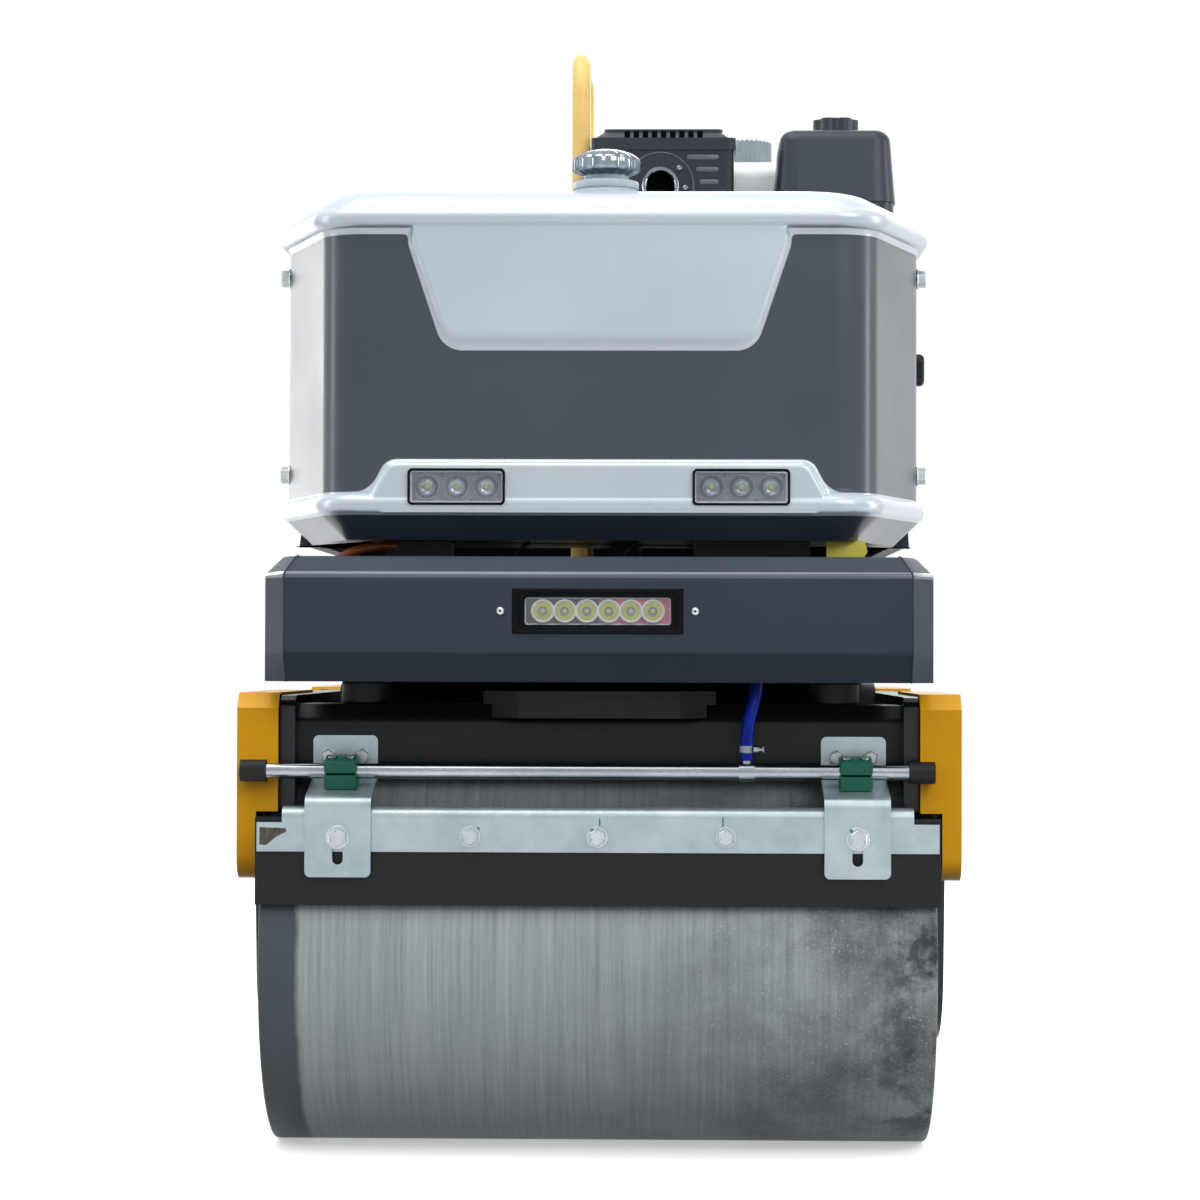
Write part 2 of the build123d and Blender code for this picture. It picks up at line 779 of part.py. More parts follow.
frame_length = machine_length - 2 * frame_front_d
frame_height = frame_high - frame_low
with BuildPart() as frame_channels:
    for side, sx in sides:
        with Locations((sx * frame_half, y_mid, frame_low)):
            Box(channel_width, frame_length - 2 * end_plate, frame_height,
                align=(Align.MAX if sx > 0 else Align.MIN, Align.CENTER, Align.MIN))
        with Locations((sx * (frame_half - channel_wall), y_mid, frame_low + channel_wall)):
            Box(channel_width, frame_length, frame_height - 2 * channel_wall,
                align=(Align.MAX if sx > 0 else Align.MIN, Align.CENTER, Align.MIN), mode=Mode.SUBTRACT)
frame_channels.part.label = "frame_channels"
export_step(frame_channels.part, "parts/frame_channels.step")

with BuildPart() as frame_ends:
    with Locations(*[(0, y_mid + sy * (frame_length - end_plate) / 2, frame_low) for sy in (-1, 1)]):
        Box(2 * frame_half, end_plate, frame_height, align=(Align.CENTER, Align.CENTER, Align.MIN))
frame_ends.part.label = "frame_ends"
export_step(frame_ends.part, "parts/frame_ends.step")

with BuildPart() as deck:
    with Locations((0, y_mid, frame_high)):
        Box(2 * frame_half, frame_length, deck_thick, align=(Align.CENTER, Align.CENTER, Align.MIN))
deck.part.label = "deck"
export_step(deck.part, "parts/deck.step")

with BuildPart() as tank_seats:
    for x_low, x_high in seat_spans:
        with Locations(*[((x_low + x_high) / 2, y_mid + sy * (machine_length / 2 - mount_d), deck_top)
                         for sy in (-1, 1)]):
            Box(x_high - x_low, seat_length, hood_low - deck_top, align=(Align.CENTER, Align.CENTER, Align.MIN))
tank_seats.part.label = "tank_seats"
export_step(tank_seats.part, "parts/tank_seats.step")

# Two rails that raise the engine above the deck.
with BuildPart() as engine_bed:
    with Locations(*[(engine_left + x, back(engine_d), deck_top)
                     for x in (bed_inset, case_width - bed_inset)]):
        Box(bed_width, case_length, engine_base - deck_top, align=(Align.CENTER, Align.CENTER, Align.MIN))
engine_bed.part.label = "engine_bed"
export_step(engine_bed.part, "parts/engine_bed.step")

# ================================================================ bumpers
# Folded sheet across each end, with mitred end wings and a plate behind it that
# bolts to the upper frame.
with BuildPart() as bumper_core:
    with BuildSketch(across(-bumper_end_half)):
        with BuildLine():
            FilletPolyline(
                (back(frame_front_d), bumper_top - bumper_sheet),
                (back(bumper_sheet - bumper_out), bumper_top - bumper_sheet),
                (back(bumper_sheet - bumper_out), bumper_bend_low),
                (back(bumper_under + bumper_sheet - bumper_out), bumper_low),
                (back(bumper_under + bumper_sheet - bumper_out), bumper_low - bumper_sheet),
                (back(frame_front_d), bumper_low - bumper_sheet),
                radius=bumper_sheet, close=True)
        make_face()
    extrude(amount=2 * bumper_end_half)
    with BuildSketch(Plane.XY.offset(bumper_low - 2 * bumper_sheet)):
        with BuildLine():
            Polyline(
                (bumper_half - bumper_sheet, back(-2 * bumper_out)),
                (bumper_half - bumper_sheet, back(bumper_sheet - bumper_out)),
                (bumper_end_half - bumper_sheet, back(bumper_wing - bumper_out)),
                (bumper_end_half - bumper_sheet, back(2 * frame_front_d)),
                (bumper_sheet - bumper_end_half, back(2 * frame_front_d)),
                (bumper_sheet - bumper_end_half, back(bumper_wing - bumper_out)),
                (bumper_sheet - bumper_half, back(bumper_sheet - bumper_out)),
                (bumper_sheet - bumper_half, back(-2 * bumper_out)), close=True)
        make_face()
    extrude(amount=2 * bumper_top, mode=Mode.INTERSECT)

with BuildPart() as bumper_blank:
    with BuildSketch(across(-bumper_end_half)) as bumper_profile:
        with BuildLine():
            Polyline(
                (back(frame_front_d), bumper_top), (back(-bumper_out), bumper_top),
                (back(-bumper_out), bumper_bend_low), (back(bumper_under - bumper_out), bumper_low),
                (back(frame_front_d), bumper_low), close=True)
        make_face()
        fillet(bumper_profile.vertices().group_by(Axis.Y)[-1].sort_by(Axis.X)[0], radius=bumper_bend)
    extrude(amount=2 * bumper_end_half)
    with BuildSketch(Plane.XY.offset(bumper_low - bumper_sheet)):
        with BuildLine():
            Polyline(
                (bumper_half, back(-bumper_out)), (bumper_end_half, back(bumper_wing - bumper_out)),
                (bumper_end_half, back(frame_front_d)), (-bumper_end_half, back(frame_front_d)),
                (-bumper_end_half, back(bumper_wing - bumper_out)), (-bumper_half, back(-bumper_out)),
                close=True)
        make_face()
    extrude(amount=2 * bumper_top, mode=Mode.INTERSECT)
    add(bumper_core.part, mode=Mode.SUBTRACT)
    back_height = bumper_top - bumper_low - bumper_sheet
    with Locations((0, back(frame_front_d), bumper_low)):
        Box(2 * bumper_back_half, bumper_sheet, back_height, align=(Align.CENTER, Align.MAX, Align.MIN))

with BuildPart() as bumper_front:
    add(bumper_blank.part)
    light_height = light_high - light_low + 2 * light_gap
    with Locations((0, back(-bumper_out), (light_low + light_high) / 2)):
        Box(2 * (light_half + light_gap), 4 * bumper_sheet, light_height, mode=Mode.SUBTRACT)
bumper_front.part.label = "bumper_front"
export_step(bumper_front.part, "parts/bumper_front.step")

with BuildPart() as bumper_rear:
    mirror(bumper_blank.part, about=mid_plane)
bumper_rear.part.label = "bumper_rear"
export_step(bumper_rear.part, "parts/bumper_rear.step")

with BuildPart() as light_bar:
    with BuildSketch(facing(-front_out)) as light_outline:
        with Locations((0, (light_low + light_high) / 2)):
            Rectangle(2 * light_half, light_high - light_low)
        fillet(light_outline.vertices(), radius=3)
    extrude(amount=-light_depth)
    with BuildSketch(facing(-front_out)):
        offset(light_outline.sketch_local, amount=-light_frame)
    extrude(amount=-light_recess, mode=Mode.SUBTRACT)
light_bar.part.label = "light_bar"
export_step(light_bar.part, "parts/light_bar.step")


# ================================================================ tanks
def tank_plan(z, grow):
    """Plan outline of a tank at height z, grown outwards by grow."""
    with BuildSketch(Plane.XY.offset(z)) as plan:
        with BuildLine():
            Polyline(
                (tank_face_half, back(tank_d)), (tank_half, back(tank_shoulder_d)),
                (tank_half, back(tank_end_d)), (-tank_half, back(tank_end_d)),
                (-tank_half, back(tank_shoulder_d)), (-tank_face_half, back(tank_d)), close=True)
        make_face()
        fillet(plan.vertices().group_by(Axis.Y)[0], radius=tank_corner)
        fillet([v for v in plan.vertices() if abs(v.Y - back(tank_shoulder_d)) < tank_corner
                and abs(v.X) > tank_half - 1], radius=tank_shoulder_round)
        offset(amount=grow)
        with Locations((0, back(tank_end_d))):
            Rectangle(4 * tank_half, 4 * rim_out, align=(Align.CENTER, Align.MIN), mode=Mode.SUBTRACT)
    return plan.sketch


def crown_section(share, rise):
    """The tank's plan drawn in by a share of its size towards the middle of its back edge, and raised."""
    drawn_in = scale(tank_plan(0, -crown_in), by=1 - share)
    return Pos(0, back(tank_end_d) * share, rim_high + rise) * drawn_in


def outer_edges(part, place):
    """Edges of one level of a tank part, but for those on its back face."""
    level = part.edges().filter_by(lambda e: abs(e.bounding_box().size.Z) < 0.01).group_by(Axis.Z)[place]
    return level.filter_by(lambda e: e.center().Y < back(tank_end_d) - 1)


# bevelled skirt with the lower bead, and the rolled rim
with BuildPart() as tank_bead:
    extrude(tank_plan(hood_low, bead_out), amount=bead_low_top - hood_low)
    chamfer(outer_edges(tank_bead, 0), length=skirt)
    fillet(outer_edges(tank_bead, -1), radius=bead_round)
    fillet(outer_edges(tank_bead, 1), radius=bead_low_round)

with BuildPart() as tank_rim:
    extrude(tank_plan(rim_low, rim_out), amount=rim_high - rim_low)
    fillet(outer_edges(tank_rim, 0) + outer_edges(tank_rim, -1), radius=rim_round)

with BuildPart() as tank_blank:
    add(tank_bead.part)
    extrude(tank_plan(bead_low_top - bead_out, 0), amount=rim_high - bead_low_top + bead_out)
    add(tank_rim.part)
    # crowned top
    loft([crown_section(share, rise) for share, rise in crown_steps], ruled=True)

with BuildPart() as plaque_form:
    with BuildSketch(facing(tank_d - emboss)) as plaque:
        with BuildLine():
            Polyline(
                (-plaque_half_top, rim_high - rim_out), (-plaque_half_low, plaque_low),
                (plaque_half_low, plaque_low), (plaque_half_top, rim_high - rim_out), close=True)
        make_face()
        fillet(plaque.vertices().group_by(Axis.Y)[0], radius=plaque_corner)
    extrude(amount=-2 * emboss)
    fillet(plaque_form.faces().sort_by(Axis.Y)[0].edges(), radius=emboss_ease)

with BuildPart() as sill_form:
    with BuildSketch(facing(tank_d - sill_emboss)) as sill:
        with BuildLine():
            Polyline(
                (-sill_half_low, sill_foot), (-sill_half, sill_high),
                (sill_half, sill_high), (sill_half_low, sill_foot), close=True)
        make_face()
        fillet(sill.vertices().group_by(Axis.Y)[-1], radius=sill_corner)
    extrude(amount=-2 * sill_emboss)
    fillet(sill_form.faces().sort_by(Axis.Y)[0].edges(), radius=sill_ease)

with BuildPart() as hood_front:
    add(tank_blank.part)
    # raised plaque under the rim, raised sill round the lamps
    add(plaque_form.part)
    add(sill_form.part)
    # lamp pockets
    with Locations(*[(sx * (lamp_x_in + lamp_x_out) / 2, back(tank_d - emboss), (lamp_low + lamp_high) / 2)
                     for side, sx in sides]):
        Box(lamp_x_out - lamp_x_in + 2 * lamp_gap, 2 * lamp_depth, lamp_high - lamp_low + 2 * lamp_gap,
            mode=Mode.SUBTRACT)
    # filler neck, turned in steps
    for ring_radius, ring_top in neck_rings:
        with Locations((neck_x, back(neck_d), rim_high)):
            Cylinder(ring_radius, ring_top - rim_high, align=(Align.CENTER, Align.CENTER, Align.MIN))
    with BuildSketch(Plane(origin=(neck_x, back(neck_d), neck_groove_z - neck_groove / 2))):
        Circle(neck_rings[0][0] + neck_groove)
        Circle(neck_groove_radius, mode=Mode.SUBTRACT)
    extrude(amount=neck_groove, mode=Mode.SUBTRACT)
hood_front.part.label = "hood_front"
export_step(hood_front.part, "parts/hood_front.step")

with BuildPart() as hood_rear:
    mirror(tank_blank.part, about=mid_plane)
hood_rear.part.label = "hood_rear"
export_step(hood_rear.part, "parts/hood_rear.step")

with BuildPart() as hood_lamps:
    with Locations(*[(sx * (lamp_x_in + lamp_x_out) / 2, back(tank_d - emboss - lamp_proud),
                      (lamp_low + lamp_high) / 2) for side, sx in sides]):
        Box(lamp_x_out - lamp_x_in, lamp_depth + lamp_proud, lamp_high - lamp_low,
            align=(Align.CENTER, Align.MIN, Align.CENTER))
    fillet(hood_lamps.edges().filter_by(Axis.Y), radius=lamp_round)
    for side, sx in sides:
        for i in range(lamp_cups):
            cup_x = sx * (lamp_x_in + lamp_x_out) / 2 + (i - (lamp_cups - 1) / 2) * lamp_cup_pitch
            with BuildSketch(facing(tank_d - emboss - lamp_proud)):
                with Locations((cup_x, (lamp_low + lamp_high) / 2)):
                    Circle(lamp_cup_radius)
            extrude(amount=-lamp_cup_depth, taper=lamp_cup_taper, mode=Mode.SUBTRACT)
hood_lamps.part.label = "hood_lamps"
export_step(hood_lamps.part, "parts/hood_lamps.step")

with BuildPart() as filler_cap:
    with BuildSketch(Plane(origin=(neck_x, back(neck_d), neck_top), x_dir=(1, 0, 0), z_dir=(0, -1, 0))):
        with BuildLine():
            Polyline(
                (0, 0), (filler_foot_radius, 0), (filler_radius, filler_edge_low),
                (filler_radius, filler_edge_high), (filler_dome_radius, filler_dome_edge), (0, filler_height),
                close=True)
        make_face()
    revolve(axis=Axis((neck_x, back(neck_d), 0), (0, 0, 1)))
    with Locations((neck_x, back(neck_d), neck_top)):
        with PolarLocations(filler_radius + filler_lobe_radius - filler_lobe_depth, filler_lobes):
            Cylinder(filler_lobe_radius, 2 * filler_height, mode=Mode.SUBTRACT)
filler_cap.part.label = "filler_cap"
export_step(filler_cap.part, "parts/filler_cap.step")

# ================================================================ side panels
panel_out = tank_half - panel_inset
latch_d = tank_end_d + panel_gap + latch_inset
hinge_x = tank_half + hinge_radius
hinge_y = back(machine_length - tank_end_d)


def panel_shell(gap):
    """Flanged sheet panel between the tanks on the +X side, short of each by gap."""
    length = machine_length - 2 * tank_end_d - 2 * gap
    with BuildPart() as shell:
        with Locations((panel_out, back(tank_end_d + gap), panel_low)):
            Box(panel_flange, length, panel_high - panel_low, align=(Align.MAX, Align.MIN, Align.MIN))
        with Locations((panel_out - panel_sheet, back(tank_end_d + gap + panel_sheet), panel_low + panel_sheet)):
            Box(panel_flange, length - 2 * panel_sheet, panel_high - panel_low - 2 * panel_sheet,
                align=(Align.MAX, Align.MIN, Align.MIN), mode=Mode.SUBTRACT)
        # pressed louvres beside the engine's fan
        with BuildPart(mode=Mode.PRIVATE) as louvre:
            with BuildSketch(across(panel_out)):
                with Locations((back(louvre_d), louvre_low)):
                    SlotOverall(louvre_length, louvre_width)
            extrude(amount=louvre_out)
            fillet(louvre.faces().sort_by(Axis.X)[-1].edges(), radius=louvre_ease)
        for i in range(louvre_count):
            with Locations((0, 0, i * louvre_pitch)):
                add(louvre.part)
    return shell.part


with BuildPart() as side_panel_left:
    mirror(panel_shell(panel_seat), about=Plane.YZ)
side_panel_left.part.label = "side_panel_left"
export_step(side_panel_left.part, "parts/side_panel_left.step")

# Each hinge has a fixed leaf with two barrels and the pin, and the door carries
# the barrel between them.
barrel = hinge_height / 3
with BuildPart() as door_hinges:
    for z in hinge_z:
        with Locations((tank_half, hinge_y, z)):
            Box(hinge_leaf, hinge_leaf_width, hinge_height, align=(Align.MIN, Align.MIN, Align.CENTER))
        with Locations((hinge_x, hinge_y, z)):
            Cylinder(hinge_radius, hinge_height)
            Cylinder(hinge_radius * 2, barrel, mode=Mode.SUBTRACT)
            Cylinder(pin_radius, hinge_height)
door_hinges.part.label = "door_hinges"
export_step(door_hinges.part, "parts/door_hinges.step")

with BuildPart() as service_door:
    add(panel_shell(panel_gap))
    for z in hinge_z:
        with Locations((hinge_x, hinge_y, z)):
            Cylinder(hinge_radius, barrel - 2 * hinge_barrel_gap)
        with Locations((hinge_x, hinge_y, z)):
            Box(hinge_x - panel_out, hinge_leaf_width, barrel - 2 * hinge_barrel_gap,
                align=(Align.MAX, Align.MAX, Align.CENTER))
        with Locations((hinge_x, hinge_y, z)):
            Cylinder(pin_radius + running_fit, hinge_height, mode=Mode.SUBTRACT)
service_door.part.label = "service_door"
export_step(service_door.part, "parts/service_door.step")

with BuildPart() as door_latch:
    with BuildSketch(Plane(origin=(panel_out, back(latch_d), latch_z), x_dir=(0, 1, 0), z_dir=(1, 0, 0))):
        SlotOverall(latch_height, latch_width, rotation=90)
    extrude(amount=latch_out)
    fillet(door_latch.faces().sort_by(Axis.X)[-1].edges(), radius=latch_width / 4)
door_latch.part.label = "door_latch"
export_step(door_latch.part, "parts/door_latch.step")

# ================================================================ power unit
engine_right = engine_left + case_width
engine_x = (engine_left + engine_right) / 2
case_front_d = engine_d - case_length / 2
with BuildPart() as engine_block:
    with Locations((engine_x, back(engine_d), engine_base)):
        Box(case_width, case_length + 2 * foot_over, foot_thick,
            align=(Align.CENTER, Align.CENTER, Align.MIN))
    with Locations((engine_x, back(engine_d), engine_base)):
        crankcase = Box(case_width, case_length, case_height, align=(Align.CENTER, Align.CENTER, Align.MIN))
    fillet(engine_block.edges().filter_by(Axis.X).group_by(Axis.Z)[-1], radius=40)
    # finned barrel and head, leaning forwards
    barrel_plane = Plane(origin=(engine_x, back(case_front_d + 30), crank_z + 10), x_dir=(1, 0, 0),
                         z_dir=(0, -cos(radians(cylinder_tilt)), sin(radians(cylinder_tilt))))
    with BuildSketch(barrel_plane):
        Rectangle(cylinder_size, cylinder_size)
    extrude(amount=cylinder_length + head_length)
    for i in range(fin_count):
        fin_step = (cylinder_length + head_length - 40) / fin_count
        with BuildSketch(barrel_plane.offset(50 + i * fin_step)):
            RectangleRounded(cylinder_size + 2 * fin_over, cylinder_size + 2 * fin_over, 8)
        extrude(amount=fin_thick)
    # cowl over the crankcase that carries the tank
    with Locations((engine_x, back(engine_d), engine_base + case_height - 50)):
        Box(case_width - 20, case_length - 40, cowl_top - engine_base - case_height + 50,
            align=(Align.CENTER, Align.CENTER, Align.MIN))
    # exhaust pipe and inlet elbow up to the muffler and the air cleaner
    with Locations((outlet_x, back(muffler_d + muffler_depth / 2), crank_z + 60)):
        Cylinder(pipe_radius, muffler_low - crank_z - 60, align=(Align.CENTER, Align.CENTER, Align.MIN))
engine_block.part.label = "engine_block"
export_step(engine_block.part, "parts/engine_block.step")

with BuildPart() as recoil_starter:
    with BuildSketch(Plane(origin=(engine_right, back(engine_d), crank_z), x_dir=(0, 1, 0), z_dir=(1, 0, 0))):
        Circle(fan_radius - 8)
        with Locations((0, fan_radius / 2)):
            Rectangle(2 * (fan_radius - 8), fan_radius)
    extrude(amount=fan_width)
    with BuildSketch(recoil_starter.faces().sort_by(Axis.X)[-1]):
        Circle(recoil_radius)
    extrude(amount=recoil_depth)
    fillet(recoil_starter.faces().sort_by(Axis.X)[-1].edges(), radius=14)
    recoil_face = Plane(origin=(engine_right + fan_width + recoil_depth, back(engine_d), crank_z),
                        x_dir=(0, 1, 0), z_dir=(1, 0, 0))
    with BuildSketch(recoil_face):
        with PolarLocations(recoil_radius * 0.62, recoil_slots):
            SlotOverall(recoil_radius * 0.4, 8)
    extrude(amount=-6, mode=Mode.SUBTRACT)
recoil_starter.part.label = "recoil_starter"
export_step(recoil_starter.part, "parts/recoil_starter.step")

muffler_x = muffler_left + muffler_width / 2
muffler_mid = back(muffler_d + muffler_depth / 2)
with BuildPart() as muffler:
    with BuildSketch(Plane(origin=(muffler_x, muffler_mid, muffler_low))):
        RectangleRounded(muffler_width, muffler_depth, muffler_round)
    extrude(amount=muffler_top - muffler_low)
    # vented cover with a band and sloping shoulders
    with BuildSketch(Plane(origin=(muffler_x, muffler_mid, muffler_top))):
        RectangleRounded(muffler_width + 2 * cover_lip, muffler_depth + 2 * cover_lip, muffler_round)
    extrude(amount=cover_band)
    lid_low = Plane(origin=(muffler_x, muffler_mid, muffler_top + cover_band))
    with BuildSketch(lid_low) as lid_foot:
        RectangleRounded(muffler_width + 2 * cover_lip, muffler_depth + 2 * cover_lip, muffler_round)
    with BuildSketch(lid_low.offset(cover_rise - cover_band)) as lid_head:
        RectangleRounded(muffler_width + 2 * cover_lip - 2 * cover_slope_side,
                         muffler_depth + 2 * cover_lip - 2 * cover_slope_front, muffler_round)
    loft([lid_foot.sketch, lid_head.sketch], ruled=True)
    # vents through the sloping shoulder
    with Locations((muffler_x, back(muffler_d), muffler_top + cover_band + 2)):
        with GridLocations(vent_pitch, 1, vent_count, 1):
            Box(vent_width, 2 * cover_slope_front, vent_height, align=(Align.CENTER, Align.CENTER, Align.MIN),
                mode=Mode.SUBTRACT)
    # outlet with its plate and ring
    for ring_radius, ring_out in ((outlet_plate, outlet_plate_out), (outlet_ring, outlet_out)):
        with BuildSketch(facing(muffler_d)):
            with Locations((outlet_x, outlet_z)):
                Circle(ring_radius)
        extrude(amount=ring_out)
    with BuildSketch(facing(muffler_d - outlet_out)):
        with Locations((outlet_x, outlet_z)):
            Circle(outlet_radius)
    extrude(amount=-outlet_depth, mode=Mode.SUBTRACT)
    with BuildSketch(facing(muffler_d)):
        for slot_in, slot_z, slot_length in side_slots:
            with Locations((engine_left + slot_in, slot_z)):
                SlotOverall(slot_length, side_slot_height)
    extrude(amount=-side_slot_depth, mode=Mode.SUBTRACT)
muffler.part.label = "muffler"
export_step(muffler.part, "parts/muffler.step")

cleaner_x = cleaner_left + cleaner_width / 2
cleaner_mid = back(cleaner_d + cleaner_depth / 2)
with BuildPart() as air_cleaner:
    with BuildSketch(Plane(origin=(cleaner_x, cleaner_mid, cleaner_low))):
        RectangleRounded(cleaner_width - 2 * cleaner_lip, cleaner_depth - 2 * cleaner_lip, cleaner_round)
    extrude(amount=cleaner_seam - cleaner_low)
    with BuildPart(mode=Mode.PRIVATE) as cleaner_lid:
        with BuildSketch(Plane(origin=(cleaner_x, cleaner_mid, cleaner_seam))):
            RectangleRounded(cleaner_width, cleaner_depth, cleaner_round)
        extrude(amount=cleaner_top - cleaner_seam, taper=cleaner_taper)
        fillet(cleaner_lid.faces().sort_by(Axis.Z)[-1].edges(), radius=cleaner_top_round)
    add(cleaner_lid.part)
    # inlet elbow down to the fan housing
    with Locations((cleaner_left + elbow_width, back(cleaner_d + cleaner_depth - cleaner_lip), cleaner_low)):
        Box(elbow_width, elbow_width, cleaner_low - crank_z - fan_radius,
            align=(Align.CENTER, Align.MAX, Align.MAX))
    # lobed knob
    with BuildSketch(Plane(origin=(cleaner_x + knob_shift, cleaner_mid, cleaner_top))):
        Circle(knob_radius - knob_lobe_radius / 2)
        with PolarLocations(knob_radius - knob_lobe_radius, knob_lobes):
            Circle(knob_lobe_radius)
    extrude(amount=knob_height)
air_cleaner.part.label = "air_cleaner"
export_step(air_cleaner.part, "parts/air_cleaner.step")

fuel_x = fuel_left + fuel_width / 2
fuel_mid = back(fuel_d + fuel_depth / 2)
with BuildPart() as fuel_tank:
    with Locations((fuel_x, fuel_mid, cowl_top)):
        Box(fuel_width, fuel_depth, fuel_top - cowl_top, align=(Align.CENTER, Align.CENTER, Align.MIN))
    fillet(fuel_tank.edges().filter_by(Axis.Z), radius=fuel_round)
    fillet(fuel_tank.faces().sort_by(Axis.Z)[-1].edges(), radius=fuel_round * 0.9)
    # welded seam round the tank
    with BuildSketch(Plane(origin=(fuel_x, fuel_mid, fuel_seam))):
        RectangleRounded(fuel_width + 2 * fuel_seam_end, fuel_depth + 2 * fuel_seam_out, fuel_round + fuel_seam_end)
    extrude(amount=fuel_seam_thick)
    with BuildSketch(Plane(origin=(fuel_left + fuel_cap_in, fuel_mid, fuel_top))):
        Circle(fuel_cap_radius)
        with PolarLocations(fuel_cap_radius, fuel_cap_lobes):
            Circle(fuel_cap_radius / fuel_cap_lobes, mode=Mode.SUBTRACT)
    extrude(amount=fuel_cap_height)
fuel_tank.part.label = "fuel_tank"
export_step(fuel_tank.part, "parts/fuel_tank.step")

with BuildPart() as hydraulic_pump:
    pump_stages = ((bell_radius, bell_length), (pump_radius, pump_length), (small_pump_radius, small_pump_length))
    pump_x = engine_left
    for stage_radius, stage_length in pump_stages:
        with BuildSketch(across(pump_x)):
            with Locations((back(engine_d), crank_z)):
                Circle(stage_radius)
        extrude(amount=-stage_length)
        pump_x = pump_x - stage_length
hydraulic_pump.part.label = "hydraulic_pump"
export_step(hydraulic_pump.part, "parts/hydraulic_pump.step")

# ================================================================ lifting hoop
with BuildPart() as lifting_hoop:
    with BuildLine(across(hoop_x)) as hoop_path:
        FilletPolyline(
            (back(hoop_d), deck_top + hoop_foot_thick / 2), (back(hoop_d), hoop_top - hoop_radius),
            (back(hoop_d + hoop_span), hoop_top - hoop_radius),
            (back(hoop_d + hoop_span), deck_top + hoop_foot_thick / 2), radius=hoop_bend)
    with BuildSketch(Plane(origin=hoop_path.line @ 0, z_dir=(0, 0, 1))):
        Circle(hoop_radius)
    sweep()
    with Locations(*[(hoop_x, back(hoop_d + s * hoop_span), deck_top) for s in (0, 1)]):
        Box(2 * hoop_foot_half, 2 * hoop_foot_half, hoop_foot_thick,
            align=(Align.CENTER, Align.CENTER, Align.MIN))
lifting_hoop.part.label = "lifting_hoop"
export_step(lifting_hoop.part, "parts/lifting_hoop.step")

# ================================================================ tow handle
with BuildPart() as handle_bracket:
    base_d = machine_length + bumper_out
    with Locations((0, back(base_d), (ear_base_low + ear_base_high) / 2)):
        Box(2 * ear_base_half, ear_base_thick, ear_base_high - ear_base_low,
            align=(Align.CENTER, Align.MIN, Align.CENTER))
    for side, sx in sides:
        with BuildSketch(across(sx * ear_x)):
            with Locations((back(pivot_d), pivot_z)):
                Circle(ear_radius)
            with Locations((back(base_d + ear_base_thick / 2), (ear_base_low + ear_base_high) / 2)):
                Rectangle(ear_base_thick, ear_base_high - ear_base_low)
            make_hull()
        extrude(amount=sx * ear_thick)
        with BuildSketch(across(sx * (ear_x + ear_thick))):
            with Locations((back(pivot_d), pivot_z)):
                Circle(pivot_radius)
        extrude(amount=-sx * (ear_x + ear_thick - handle_x + handle_tube))
handle_bracket.part.label = "handle_bracket"
export_step(handle_bracket.part, "parts/handle_bracket.step")

# Handle frame, built in its own plane: local x across the machine, local y from
# the pivot towards the grip.
tilt = radians(handle_tilt)
handle_plane = Plane(origin=(0, back(pivot_d), pivot_z), x_dir=(1, 0, 0), z_dir=(0, -sin(tilt), cos(tilt)))
along = Vector(0, cos(tilt), sin(tilt))
with BuildPart() as handle_frame:
    with BuildLine(handle_plane) as handle_path:
        FilletPolyline((-handle_x, 0), (-handle_x, handle_length), (handle_x, handle_length), (handle_x, 0),
                       radius=handle_bend)
    with BuildSketch(Plane(origin=handle_path.line @ 0, x_dir=(1, 0, 0), z_dir=along)):
        Circle(handle_tube)
    sweep()
    for side, sx in sides:
        with BuildSketch(across(sx * (ear_x - yoke_gap))):
            with Locations((back(pivot_d), pivot_z)):
                Circle(yoke_radius)
        extrude(amount=-sx * (ear_x - yoke_gap - handle_x + handle_tube + yoke_gap))
    # brace between the legs
    with BuildSketch(handle_plane.offset(-handle_tube / 2)):
        with Locations((0, handle_length / 3)):
            Rectangle(2 * handle_x, 2 * handle_tube)
    extrude(amount=handle_tube)
    for side, sx in sides:
        with BuildSketch(across(sx * ear_x)):
            with Locations((back(pivot_d), pivot_z)):
                Circle(pivot_radius + running_fit)
        extrude(amount=-sx * (ear_x - handle_x + 2 * handle_tube), mode=Mode.SUBTRACT)
handle_frame.part.label = "handle_frame"
export_step(handle_frame.part, "parts/handle_frame.step")

with BuildPart() as handle_console:
    with BuildSketch(handle_plane.offset(handle_tube + console_gap)) as console_plan:
        with Locations((0, (console_near + console_far) / 2)):
            RectangleRounded(2 * handle_x + 2 * handle_tube, console_far - console_near, 20)
    extrude(amount=console_rise)
    fillet(handle_console.faces().sort_by(Axis.Z)[-1].edges(), radius=console_ease)
    # switches, gauge and stop button standing on the panel
    console_face = handle_plane.offset(handle_tube + console_gap + console_rise)
    for control_x, control_along, control_radius, control_height in console_controls:
        with BuildSketch(console_face):
            with Locations((control_x, control_along)):
                Circle(control_radius)
        extrude(amount=control_height)
    # gate round the travel lever
    with BuildSketch(console_face):
        with Locations((lever_x, (console_near + console_far) / 2)):
            SlotOverall(gate_length, gate_width, rotation=90)
            SlotOverall(gate_length - gate_wall, gate_width - gate_wall, rotation=90, mode=Mode.SUBTRACT)
    extrude(amount=gate_height)
handle_console.part.label = "handle_console"
export_step(handle_console.part, "parts/handle_console.step")

